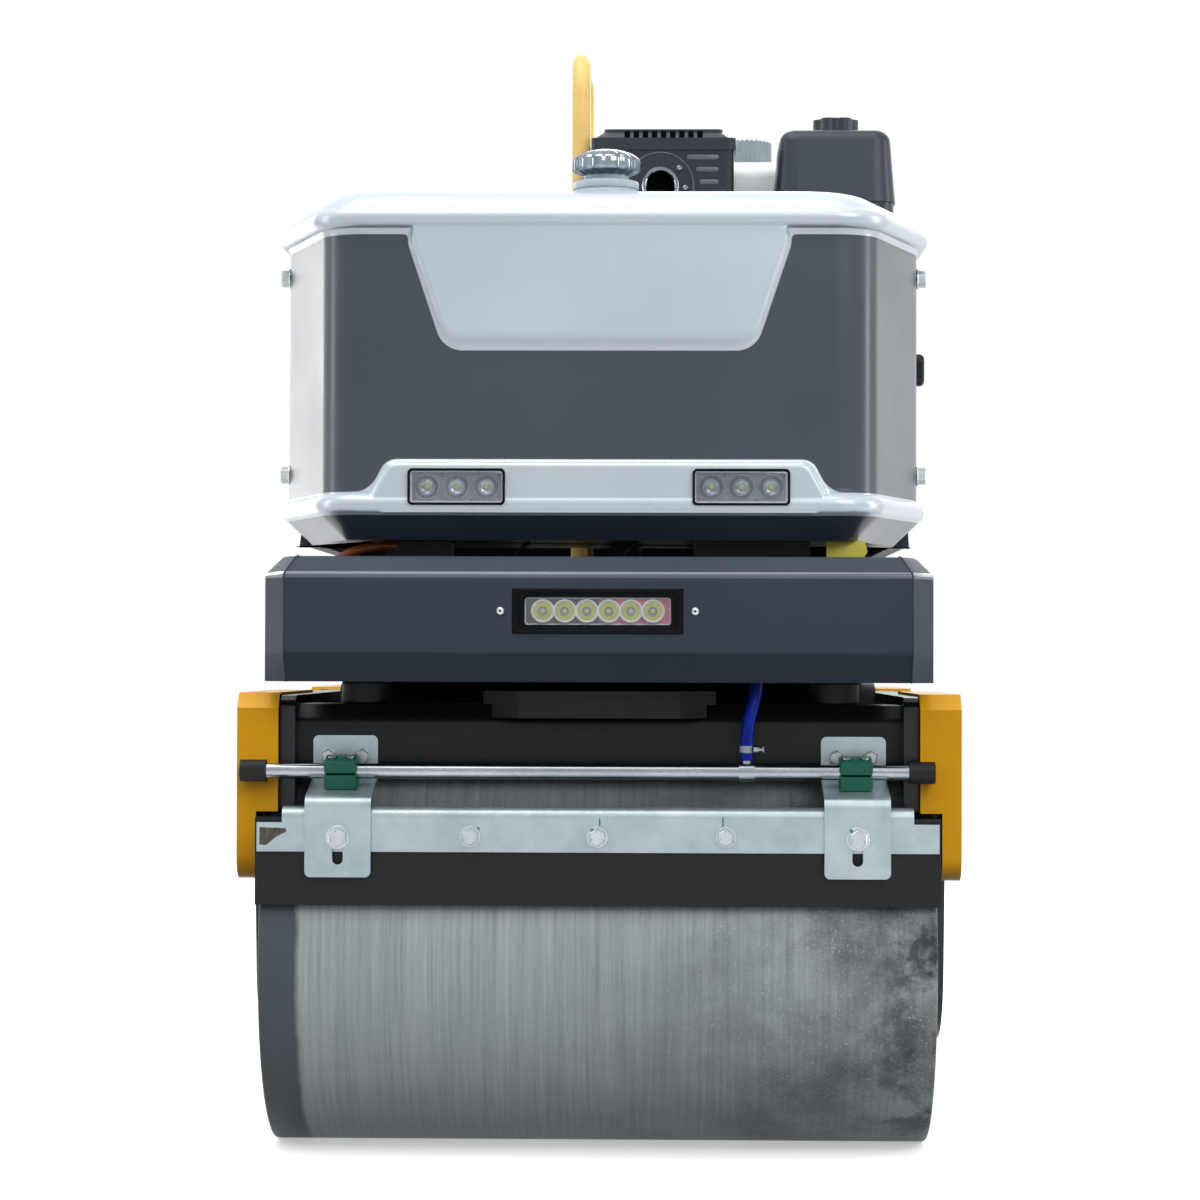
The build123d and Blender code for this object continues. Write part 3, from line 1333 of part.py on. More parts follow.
with BuildPart() as handle_grips:
    grip_places = [sx * (handle_x - handle_bend - grip_length / 4) for side, sx in sides]
    for x in grip_places:
        grip_origin = Vector(0, back(pivot_d), pivot_z) + along * handle_length
        with BuildSketch(Plane(origin=(x - grip_length / 4, grip_origin.Y, grip_origin.Z), x_dir=(0, 1, 0),
                               z_dir=(1, 0, 0))):
            Circle(handle_tube + grip_wall)
            Circle(handle_tube + running_fit, mode=Mode.SUBTRACT)
        extrude(amount=grip_length / 2)
handle_grips.part.label = "handle_grips"
export_step(handle_grips.part, "parts/handle_grips.step")

with BuildPart() as travel_lever:
    with BuildSketch(handle_plane.offset(handle_tube + console_gap + console_rise)):
        with Locations((lever_x, (console_near + console_far) / 2)):
            Circle(lever_radius)
    extrude(amount=lever_height)
    with BuildSketch(handle_plane.offset(handle_tube + console_gap + console_rise + lever_height)):
        with Locations((lever_x, (console_near + console_far) / 2)):
            Circle(2 * lever_radius)
    extrude(amount=3 * lever_radius)
    fillet(travel_lever.edges().filter_by(GeomType.CIRCLE).sort_by(SortBy.RADIUS)[-2:], radius=lever_radius * 0.8)
travel_lever.part.label = "travel_lever"
export_step(travel_lever.part, "parts/travel_lever.step")
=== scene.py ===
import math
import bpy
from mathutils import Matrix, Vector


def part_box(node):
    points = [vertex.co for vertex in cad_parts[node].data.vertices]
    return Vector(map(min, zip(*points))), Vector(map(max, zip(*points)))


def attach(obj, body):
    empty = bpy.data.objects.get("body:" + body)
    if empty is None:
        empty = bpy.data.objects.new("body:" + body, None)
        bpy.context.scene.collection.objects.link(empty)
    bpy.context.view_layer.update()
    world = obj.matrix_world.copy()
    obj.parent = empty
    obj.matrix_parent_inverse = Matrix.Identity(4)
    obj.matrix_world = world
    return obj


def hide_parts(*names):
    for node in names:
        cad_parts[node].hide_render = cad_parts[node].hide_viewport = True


bl_info = {
    "name": "Walk-behind road roller",
    "version": (1, 0, 0),
    "blender": (4, 5, 0),
    "location": "3D View > Sidebar > Roller",
    "description": "Builds the finished surfaces, small hardware and studio for a double-drum walk-behind roller",
    "category": "Object",
}

import bpy
import numpy as np
from mathutils import Matrix, Vector

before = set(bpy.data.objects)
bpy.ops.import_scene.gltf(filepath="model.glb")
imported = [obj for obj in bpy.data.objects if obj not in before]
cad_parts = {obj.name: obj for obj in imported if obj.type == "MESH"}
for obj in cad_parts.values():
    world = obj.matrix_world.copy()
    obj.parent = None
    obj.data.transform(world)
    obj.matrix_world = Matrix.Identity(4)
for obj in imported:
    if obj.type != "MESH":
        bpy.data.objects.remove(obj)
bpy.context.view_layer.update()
MM = 0.001


# --------------------------------------------------------------------------
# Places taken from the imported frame
# --------------------------------------------------------------------------
def corner(node, end):
    """Lowest (end 0) or highest (end 1) corner of a frame node, as an array in metres."""
    return np.array(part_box(node)[end][:], dtype=float)


FRONT = float(corner("drum_front", 0)[1])
REAR = float(corner("drum_rear", 1)[1])
MIDDLE = 0.5 * (FRONT + REAR)
# Length over both drums in millimetres.
FAR = 2 * (MIDDLE - FRONT) / MM
ENDS = ("front", "rear")


def back(d):
    """Y of a place d millimetres behind the front drum's foremost line."""
    return FRONT + d * MM


def depth_of(node):
    """Distance back, in millimetres, of a frame node's foremost point."""
    return (float(corner(node, 0)[1]) - FRONT) / MM


def at_end(end, d):
    """Distance back of a place d millimetres in from the line of the front or of the rear drum."""
    return d if end == "front" else FAR - d


def to_world(points):
    """World positions of points given as (X, distance back, height) in millimetres."""
    return points * MM + (0.0, FRONT, 0.0)


def in_place(points, place):
    """World positions of points given in millimetres in the local axes of `place`."""
    return points * MM @ place[:3, :3].T + place[:3, 3]


def moved(place, x, y, z=0.0):
    """The axes of `place` at a point given in millimetres in those axes."""
    here = place.copy()
    here[:3, 3] = in_place(np.array((x, y, z)), place)
    return here


# --------------------------------------------------------------------------
# Surfaces
# --------------------------------------------------------------------------
def frame_at(origin, across, up):
    """Matrix that puts local x along `across`, local y along `up` and local z along their cross product."""
    x = Vector(across).normalized()
    y = Vector(up).normalized()
    z = x.cross(y)
    return np.array(((x.x, y.x, z.x, origin[0]), (x.y, y.y, z.y, origin[1]), (x.z, y.z, z.z, origin[2]),
                     (0, 0, 0, 1)))


def facing_front(x, d, z):
    """Local x to the right, local y up, local z out of the machine's front."""
    return frame_at((x * MM, back(d), z * MM), (1, 0, 0), (0, 0, 1))


def facing_rear(x, d, z):
    """Local x to the left seen from the front, local y up, local z out of the machine's back."""
    return frame_at((x * MM, back(d), z * MM), (-1, 0, 0), (0, 0, 1))


def facing_out(end, x, d, z):
    """A place that looks out of the front or of the rear end, d millimetres in from its drum's line."""
    return (facing_front if end == "front" else facing_rear)(x, at_end(end, d), z)


def facing_side(x, d, z, side):
    """Local y up and local z out of the side that `side` names (+1 or -1 along X)."""
    return frame_at((x * MM, back(d), z * MM), (0, side, 0), (0, 0, 1))


def standing(x, d, z):
    """Local axes along the machine's own, at a place in millimetres."""
    return frame_at((x * MM, back(d), z * MM), (1, 0, 0), (0, 1, 0))


def rounded_outline(corners, radii, step=6.0):
    """Closed outline through `corners` (millimetres, anticlockwise), each corner replaced by the arc of its
    radius tangent to both sides. Returns the points and their outward unit normals; an arc gets a point for
    about every `step` degrees and a side only its two ends."""
    corners = np.asarray(corners, dtype=float)
    radii = np.broadcast_to(np.asarray(radii, dtype=float), (len(corners),))
    before = np.roll(corners, 1, axis=0)
    after = np.roll(corners, -1, axis=0)
    points, normals = [], []
    for here, last, following, radius in zip(corners, before, after, radii):
        u = (last - here) / np.linalg.norm(last - here)
        v = (following - here) / np.linalg.norm(following - here)
        half = 0.5 * math.acos(np.clip(u @ v, -1, 1))
        n_in = np.array((-u[1], u[0]))
        turn = math.pi - 2 * half
        r = max(radius, 1e-3)
        reach = r / math.tan(half)
        centre = here + u * reach - n_in * r
        count = max(2, int(math.ceil(math.degrees(turn) / step)) + 1)
        angles = np.linspace(0, turn, count)
        a0 = math.atan2(n_in[1], n_in[0])
        direction = np.stack((np.cos(a0 + angles), np.sin(a0 + angles)), axis=1)
        points.append(centre + direction * r)
        normals.append(direction)
    return np.concatenate(points), np.concatenate(normals)


def circle(radius, count=48):
    """Circle of `radius` millimetres and its outward normals."""
    t = np.linspace(0, 2 * math.pi, count, endpoint=False)
    normal = np.stack((np.cos(t), np.sin(t)), axis=1)
    return normal * radius, normal


def box_outline(width, height, radius, step=9.0):
    """Rectangle centred on the origin with rounded corners."""
    w, h = width / 2, height / 2
    return rounded_outline(((-w, -h), (w, -h), (w, h), (-w, h)), radius, step)


def hexagon(across_flats):
    """Hexagon of a bolt head, with barely eased corners."""
    t = np.radians(np.arange(6) * 60.0 + 30.0)
    r = across_flats / 2 / math.cos(math.radians(30))
    return rounded_outline(np.stack((np.cos(t), np.sin(t)), axis=1) * r, 0.4, 30.0)


def lobed(radius, lobes, depth, count=120):
    """Outline r(t) = radius - depth * (0.5 - 0.5 cos(lobes t))^3: round lobes with narrow dips between them."""
    t = np.linspace(0, 2 * math.pi, count, endpoint=False)
    dip = (0.5 - 0.5 * np.cos(lobes * t)) ** 3
    r = radius - depth * dip
    normal = np.stack((np.cos(t), np.sin(t)), axis=1)
    return normal * r[:, None], normal


def resample(outline, spacing):
    """The same outline with more points along its sides, none further apart than `spacing` millimetres."""
    points, normals = outline
    length = np.linalg.norm(np.roll(points, -1, axis=0) - points, axis=1)
    count = np.maximum(1, np.ceil(length / spacing).astype(int))
    index = np.repeat(np.arange(len(points)), count)
    share = np.concatenate([np.arange(n) / n for n in count])[:, None]
    following = (index + 1) % len(points)
    mixed = normals[index] * (1 - share) + normals[following] * share
    return (points[index] * (1 - share) + points[following] * share,
            mixed / np.linalg.norm(mixed, axis=1, keepdims=True))


def polygon_distance(x, z, corners, radius):
    """Signed distance in millimetres, negative inside, to a convex anticlockwise polygon with rounded corners:
    the polygon is drawn in by the radius, the nearest of its edges is found and the radius is taken off."""
    corners = np.asarray(corners, dtype=float)
    edge = np.roll(corners, -1, axis=0) - corners
    edge = edge / np.linalg.norm(edge, axis=1, keepdims=True)
    inward = np.stack((-edge[:, 1], edge[:, 0]), axis=1)
    last = np.roll(inward, 1, axis=0)
    drawn = corners + radius * (inward + last) / (1 + np.sum(inward * last, axis=1))[:, None]
    nearest = np.full(x.shape, 1e9)
    inside = np.ones(x.shape, dtype=bool)
    for a, b, n in zip(drawn, np.roll(drawn, -1, axis=0), inward):
        along = b - a
        share = np.clip(((x - a[0]) * along[0] + (z - a[1]) * along[1]) / (along @ along), 0, 1)
        nearest = np.minimum(nearest, np.hypot(x - a[0] - share * along[0], z - a[1] - share * along[1]))
        inside &= (x - a[0]) * n[0] + (z - a[1]) * n[1] >= 0
    return np.where(inside, -nearest, nearest) - radius


def soft_min(a, b, reach):
    """Smaller of two distances, rounded where they come within `reach` of each other."""
    share = np.clip(0.5 + 0.5 * (b - a) / reach, 0, 1)
    return b * (1 - share) + a * share - reach * share * (1 - share)


def arc(centre, radius, first, last, count):
    """Points (offset, height) on an arc, angles in degrees."""
    t = np.radians(np.linspace(first, last, count))
    return np.stack((centre[0] + radius * np.cos(t), centre[1] + radius * np.sin(t)), axis=1)


class Shape:
    """Vertices and faces of one piece, gathered part by part, with a material slot for each face."""

    def __init__(self):
        self.points, self.faces, self.slots, self.values, self.total = [], [], [], [], 0

    def grid(self, points, slot=0, loop_u=False, loop_v=False, flip=False, value=0.0, keep=None):
        """Quads between the rows and columns of an array of points (u, v, xyz); `keep` leaves out some."""
        nu, nv = points.shape[:2]
        a, b = np.meshgrid(np.arange(nu if loop_u else nu - 1), np.arange(nv if loop_v else nv - 1), indexing="ij")
        a2, b2 = (a + 1) % nu, (b + 1) % nv
        quads = np.stack((a * nv + b2, a2 * nv + b2, a2 * nv + b, a * nv + b), axis=-1).reshape(-1, 4)
        if keep is not None:
            quads = quads[keep.reshape(-1)]
        if flip:
            quads = quads[:, ::-1]
        self.points.append(points.reshape(-1, 3))
        self.values.append(np.broadcast_to(value, points.shape[:2]).reshape(-1).astype(float))
        self.faces.extend((quads + self.total).tolist())
        self.slots.extend([slot] * len(quads))
        first = self.total
        self.total += nu * nv
        return first

    def cap(self, indices, slot=0):
        """One flat face over a ring of vertices."""
        self.faces.append([int(i) for i in indices])
        self.slots.append(slot)

    def sleeve(self, world, slot=0):
        """A closed skin through a row of rings, with a flat face at both ends."""
        rings, count = world.shape[:2]
        first = self.grid(world, slot, loop_v=True) + np.arange(count)
        self.cap(first[::-1], slot)
        self.cap(first + (rings - 1) * count, slot)

    def rise(self, outline, profile, place, slot=0):
        """An outline carried up a profile: at each (inset, height) of the profile the outline is moved
        inwards by the inset along its own normals and lifted by the height, all in the local axes of `place`."""
        points, normals = outline
        profile = np.asarray(profile, dtype=float)
        ring = points[None] - normals[None] * profile[:, 0, None, None]
        height = np.broadcast_to(profile[:, 1, None, None], ring.shape[:2] + (1,))
        self.sleeve(in_place(np.concatenate((ring, height), axis=2), place), slot)

    def tube(self, path, radius, slot=0, sides=20):
        """A round section of `radius` carried along a path of places (X, distance back, height), turned with the
        path so that it never twists."""
        path = to_world(np.asarray(path, dtype=float))
        tangent = np.gradient(path, axis=0)
        tangent = tangent / np.linalg.norm(tangent, axis=1, keepdims=True)
        side = np.cross(tangent[0], (0.0, 0.0, 1.0))
        if np.linalg.norm(side) < 1e-3:
            side = np.cross(tangent[0], (1.0, 0.0, 0.0))
        across = []
        for t in tangent:
            side = side - t * (side @ t)
            side = side / np.linalg.norm(side)
            across.append(side)
        across = np.array(across)
        up = np.cross(tangent, across)
        angle = np.linspace(0, 2 * math.pi, sides, endpoint=False)[:, None]
        ring = across[:, None] * np.cos(angle) + up[:, None] * np.sin(angle)
        self.sleeve(path[:, None] + ring * radius * MM, slot)

    def build(self, name, finishes, body="chassis", sharp=30.0, replaces=(), attribute=None):
        """Makes the object, sets its materials, shading and edge split angle, and lets it ride on its body."""
        mesh = bpy.data.meshes.new(name)
        mesh.from_pydata(np.concatenate(self.points).tolist(), [], self.faces)
        mesh.polygons.foreach_set("material_index", np.array(self.slots, dtype=np.int32))
        mesh.polygons.foreach_set("use_smooth", np.ones(len(self.faces), dtype=bool))
        for finish_name in finishes:
            mesh.materials.append(finish(finish_name))
        if attribute:
            layer = mesh.attributes.new(attribute, "FLOAT", "POINT")
            layer.data.foreach_set("value", np.concatenate(self.values).astype(np.float32))
        mesh.update()
        mesh.set_sharp_from_angle(angle=math.radians(sharp))
        piece = bpy.data.objects.new(name, mesh)
        bpy.context.scene.collection.objects.link(piece)
        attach(piece, body)
        if replaces:
            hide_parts(*replaces)


# --------------------------------------------------------------------------
# Finishes
# --------------------------------------------------------------------------
def linear(hex_value):
    """sRGB hex colour as the linear colour that the shader wants."""
    channels = [int(hex_value[i:i + 2], 16) / 255.0 for i in (0, 2, 4)]
    return tuple(c / 12.92 if c <= 0.04045 else ((c + 0.055) / 1.055) ** 2.4 for c in channels) + (1.0,)


def plug(tree, node, sockets):
    """Gives each socket of a node, by name or number, a link, a hex colour or a constant."""
    for key, value in sockets.items():
        if isinstance(value, bpy.types.NodeSocket):
            tree.links.new(value, node.inputs[key])
        else:
            node.inputs[key].default_value = linear(value) if isinstance(value, str) else value


def add(tree, kind, sockets=None, output=0, **settings):
    """Adds one node with its settings and sockets, and returns the output asked for."""
    made = tree.nodes.new("ShaderNode" + kind)
    for key, value in settings.items():
        setattr(made, key, value)
    plug(tree, made, sockets or {})
    return made.outputs[output]


def start(name):
    """A new material with a Principled shader; returns the material, its tree, the shader and the coordinates
    of the object."""
    material = bpy.data.materials.new(name)
    material.use_nodes = True
    tree = material.node_tree
    tree.nodes.clear()
    surface = add(tree, "BsdfPrincipled")
    plug(tree, tree.nodes.new("ShaderNodeOutputMaterial"), {0: surface})
    return material, tree, surface.node, add(tree, "TexCoord", output="Object")


FINISHES = {}
# The part of a noise's range in which nearly all of it lies.
SWING = {"From Min": 0.3, "From Max": 0.7}
# What makes a mix one of colours: its sockets are 0 for the share and 6 and 7 for the colours.
COLOUR = {"output": 2, "data_type": "RGBA"}


def finish(name):
    """The finished material of that name, made the first time that it is asked for."""
    if name not in FINISHES:
        FINISHES[name] = RECIPES[name](name)
    return FINISHES[name]


def coated(base, shade, roughness, grain_mm, bump, coat=0.0, blotch_mm=120.0, spread=0.06, dust=None,
           dust_share=0.0, specular=0.5):
    """A painted, powder-coated or moulded surface: a base colour that drifts a little towards a shade over
    blotches, a fine orange-peel or mould grain in the bump, and optional dust in the grain."""

    def recipe(name):
        material, tree, shader, place = start(name)
        blotch = add(tree, "TexNoise", {"Vector": place, "Scale": 1 / (blotch_mm * MM), "Detail": 4,
                                        "Roughness": 0.6})
        grain = add(tree, "TexNoise", {"Vector": place, "Scale": 1 / (grain_mm * MM), "Detail": 3})
        tint = add(tree, "Mix", {0: add(tree, "MapRange", {"Value": blotch, **SWING}), 6: base, 7: shade}, **COLOUR)
        if dust:
            film = add(tree, "MapRange", {"Value": grain, "From Min": 0.5, "From Max": 0.75, "To Max": dust_share})
            tint = add(tree, "Mix", {0: film, 6: tint, 7: dust}, **COLOUR)
        plug(tree, shader, {
            "Base Color": tint,
            "Roughness": add(tree, "MapRange", {"Value": blotch, **SWING, "To Min": max(0.02, roughness - spread),
                                                "To Max": min(1.0, roughness + spread)}),
            "Normal": add(tree, "Bump", {"Height": grain, "Strength": bump, "Distance": grain_mm * MM * 0.3}),
            "Specular IOR Level": specular, "Coat Weight": coat, "Coat Roughness": 0.08})
        return material

    return recipe


def metal(base, shade, roughness, streak_mm, along=(1.0, 1.0, 1.0), bump=0.05, spread=0.08, metallic=1.0):
    """A bare or plated metal: fine drawing or rolling streaks, stretched along the given axes, vary its colour and
    its roughness. On the chrome plate the dark streaks, stretched upright, are painted reflections."""

    def recipe(name):
        material, tree, shader, place = start(name)
        turned = add(tree, "Mapping", {"Vector": place, "Scale": along})
        streak = add(tree, "TexNoise", {"Vector": turned, "Scale": 1 / (streak_mm * MM), "Detail": 5,
                                        "Roughness": 0.65})
        blotch = add(tree, "TexNoise", {"Vector": place, "Scale": 14, "Detail": 3})
        share = add(tree, "Math", {0: streak, 1: blotch}, operation="MULTIPLY")
        drift = add(tree, "MapRange", {"Value": share, "From Min": 0.12, "From Max": 0.4})
        plug(tree, shader, {
            "Base Color": add(tree, "Mix", {0: drift, 6: shade, 7: base}, **COLOUR),
            "Roughness": add(tree, "MapRange", {"Value": streak, **SWING, "To Min": max(0.02, roughness - spread),
                                                "To Max": roughness + spread}),
            "Normal": add(tree, "Bump", {"Height": streak, "Strength": bump, "Distance": 0.0002}),
            "Metallic": metallic})
        return material

    return recipe


def two_tone_tank(name):
    """Satin two-pack paint on pressed sheet: slate grey panels, silver rim, plaque and sill. The line between
    them follows the piece's own attribute, the distance in millimetres into the silver."""
    material, tree, shader, place = start(name)
    edge = add(tree, "Attribute", output="Fac", attribute_name="silver_mm")
    silver = add(tree, "MapRange", {"Value": edge, "From Min": -0.4, "From Max": 0.4})
    blotch = add(tree, "TexNoise", {"Vector": place, "Scale": 7, "Detail": 4})
    peel = add(tree, "TexNoise", {"Vector": place, "Scale": 900, "Detail": 2})
    grey = add(tree, "Mix", {0: blotch, 6: "363F4A", 7: "3E4955"}, **COLOUR)
    pale = add(tree, "Mix", {0: blotch, 6: "C2CDD6", 7: "D2DBE1"}, **COLOUR)
    plug(tree, shader, {
        "Base Color": add(tree, "Mix", {0: silver, 6: grey, 7: pale}, **COLOUR),
        "Metallic": add(tree, "Math", {0: silver, 1: 0.25}, operation="MULTIPLY"),
        "Roughness": add(tree, "MapRange", {"Value": blotch, **SWING, "To Min": 0.27, "To Max": 0.36}),
        "Normal": add(tree, "Bump", {"Height": peel, "Strength": 0.04, "Distance": 0.0003}),
        "Coat Weight": 0.1, "Coat Roughness": 0.1})
    return material


def rolled_drum(name):
    """Rolled steel drum shell, worn bright by work: scour lines run round it, a darker band lies at its left
    end and grey dust speckles its right half."""
    material, tree, shader, place = start(name)
    across = add(tree, "SeparateXYZ", {"Vector": place}, output="X")
    round_drum = add(tree, "Mapping", {"Vector": place, "Scale": (60.0, 1.6, 1.6)})
    scour = add(tree, "TexNoise", {"Vector": round_drum, "Scale": 3, "Detail": 6, "Roughness": 0.7})
    cloud = add(tree, "TexNoise", {"Vector": place, "Scale": 9, "Detail": 6, "Roughness": 0.62})
    speck = add(tree, "TexNoise", {"Vector": place, "Scale": 420, "Detail": 2})
    grit = add(tree, "TexVoronoi", {"Vector": place, "Scale": 180})
    worn = add(tree, "MapRange", {"Value": scour, **SWING})
    steel = add(tree, "Mix", {0: worn, 6: "8B9396", 7: "B3B9BB"}, **COLOUR)
    # dust on the right half, in clouds, with pale grit
    right = add(tree, "MapRange", {"Value": across, "From Min": -0.06, "From Max": 0.22})
    clouds = add(tree, "MapRange", {"Value": cloud, "From Min": 0.38, "From Max": 0.68})
    dusty = add(tree, "Math", {0: right, 1: clouds}, operation="MULTIPLY")
    dust = add(tree, "Mix", {0: dusty, 6: steel, 7: "62686B"}, **COLOUR)
    grains = add(tree, "MapRange", {"Value": speck, "From Min": 0.62, "From Max": 0.72})
    strewn = add(tree, "Math", {0: grains, 1: right}, operation="MULTIPLY")
    gritty = add(tree, "Mix", {0: strewn, 6: dust, 7: "B9BDBC"}, **COLOUR)
    # dark patches towards the right end
    end = add(tree, "MapRange", {"Value": across, "From Min": 0.23, "From Max": 0.34})
    patches = add(tree, "TexNoise", {"Vector": place, "Scale": 16, "Detail": 5, "Roughness": 0.7})
    patch = add(tree, "MapRange", {"Value": patches, "From Min": 0.46, "From Max": 0.6})
    dark = add(tree, "Math", {0: end, 1: patch}, operation="MULTIPLY")
    patched = add(tree, "Mix", {0: dark, 6: gritty, 7: "3C4144"}, **COLOUR)
    # dark band at the left end, ragged by the clouds
    ragged = add(tree, "Math", {0: cloud, 1: 0.012, 2: across}, operation="MULTIPLY_ADD")
    band = add(tree, "MapRange", {"Value": ragged, "From Min": -0.300, "From Max": -0.306})
    height = add(tree, "Math", {0: scour, 1: grit}, operation="ADD")
    plug(tree, shader, {
        "Base Color": add(tree, "Mix", {0: band, 6: patched, 7: "50575C"}, **COLOUR),
        "Roughness": add(tree, "MapRange", {"Value": scour, **SWING, "To Min": 0.42, "To Max": 0.6}),
        "Normal": add(tree, "Bump", {"Height": height, "Strength": 0.12, "Distance": 0.0005}),
        "Metallic": 0.25, "Specular IOR Level": 0.2})
    return material


def zinc_strip(name):
    """Bright zinc on cold-rolled strip: cool grey with faint cloudy crystals, softly reflective."""
    material, tree, shader, place = start(name)
    cloud = add(tree, "TexNoise", {"Vector": place, "Scale": 22, "Detail": 5, "Roughness": 0.6})
    fine = add(tree, "TexNoise", {"Vector": place, "Scale": 320, "Detail": 2})
    drift = add(tree, "MapRange", {"Value": cloud, **SWING})
    plug(tree, shader, {
        "Base Color": add(tree, "Mix", {0: drift, 6: "95A5A9", 7: "AEBBBE"}, **COLOUR),
        "Roughness": add(tree, "MapRange", {"Value": fine, **SWING, "To Min": 0.3, "To Max": 0.42}),
        "Normal": add(tree, "Bump", {"Height": fine, "Strength": 0.05, "Distance": 0.0002}),
        "Metallic": 0.75})
    return material


def clear_lens(name):
    """Clear polycarbonate lens, thin: what it does not mirror it lets straight through, slightly tinted."""
    material, tree, shader, place = start(name)
    haze = add(tree, "TexNoise", {"Vector": place, "Scale": 300})
    sheen = add(tree, "MapRange", {"Value": haze, "To Min": 0.02, "To Max": 0.06})
    share = add(tree, "MapRange", {"Value": add(tree, "LayerWeight", {"Blend": 0.35}, output="Facing"),
                                   "To Min": 0.05, "To Max": 0.55})
    both = add(tree, "MixShader", {0: share, 1: add(tree, "BsdfTransparent", {"Color": "F8FAFC"}),
                                   2: add(tree, "BsdfGlossy", {"Color": "FFFFFF", "Roughness": sheen})})
    output = shader.outputs[0].links[0].to_node
    tree.nodes.remove(shader)
    plug(tree, output, {0: both})
    return material


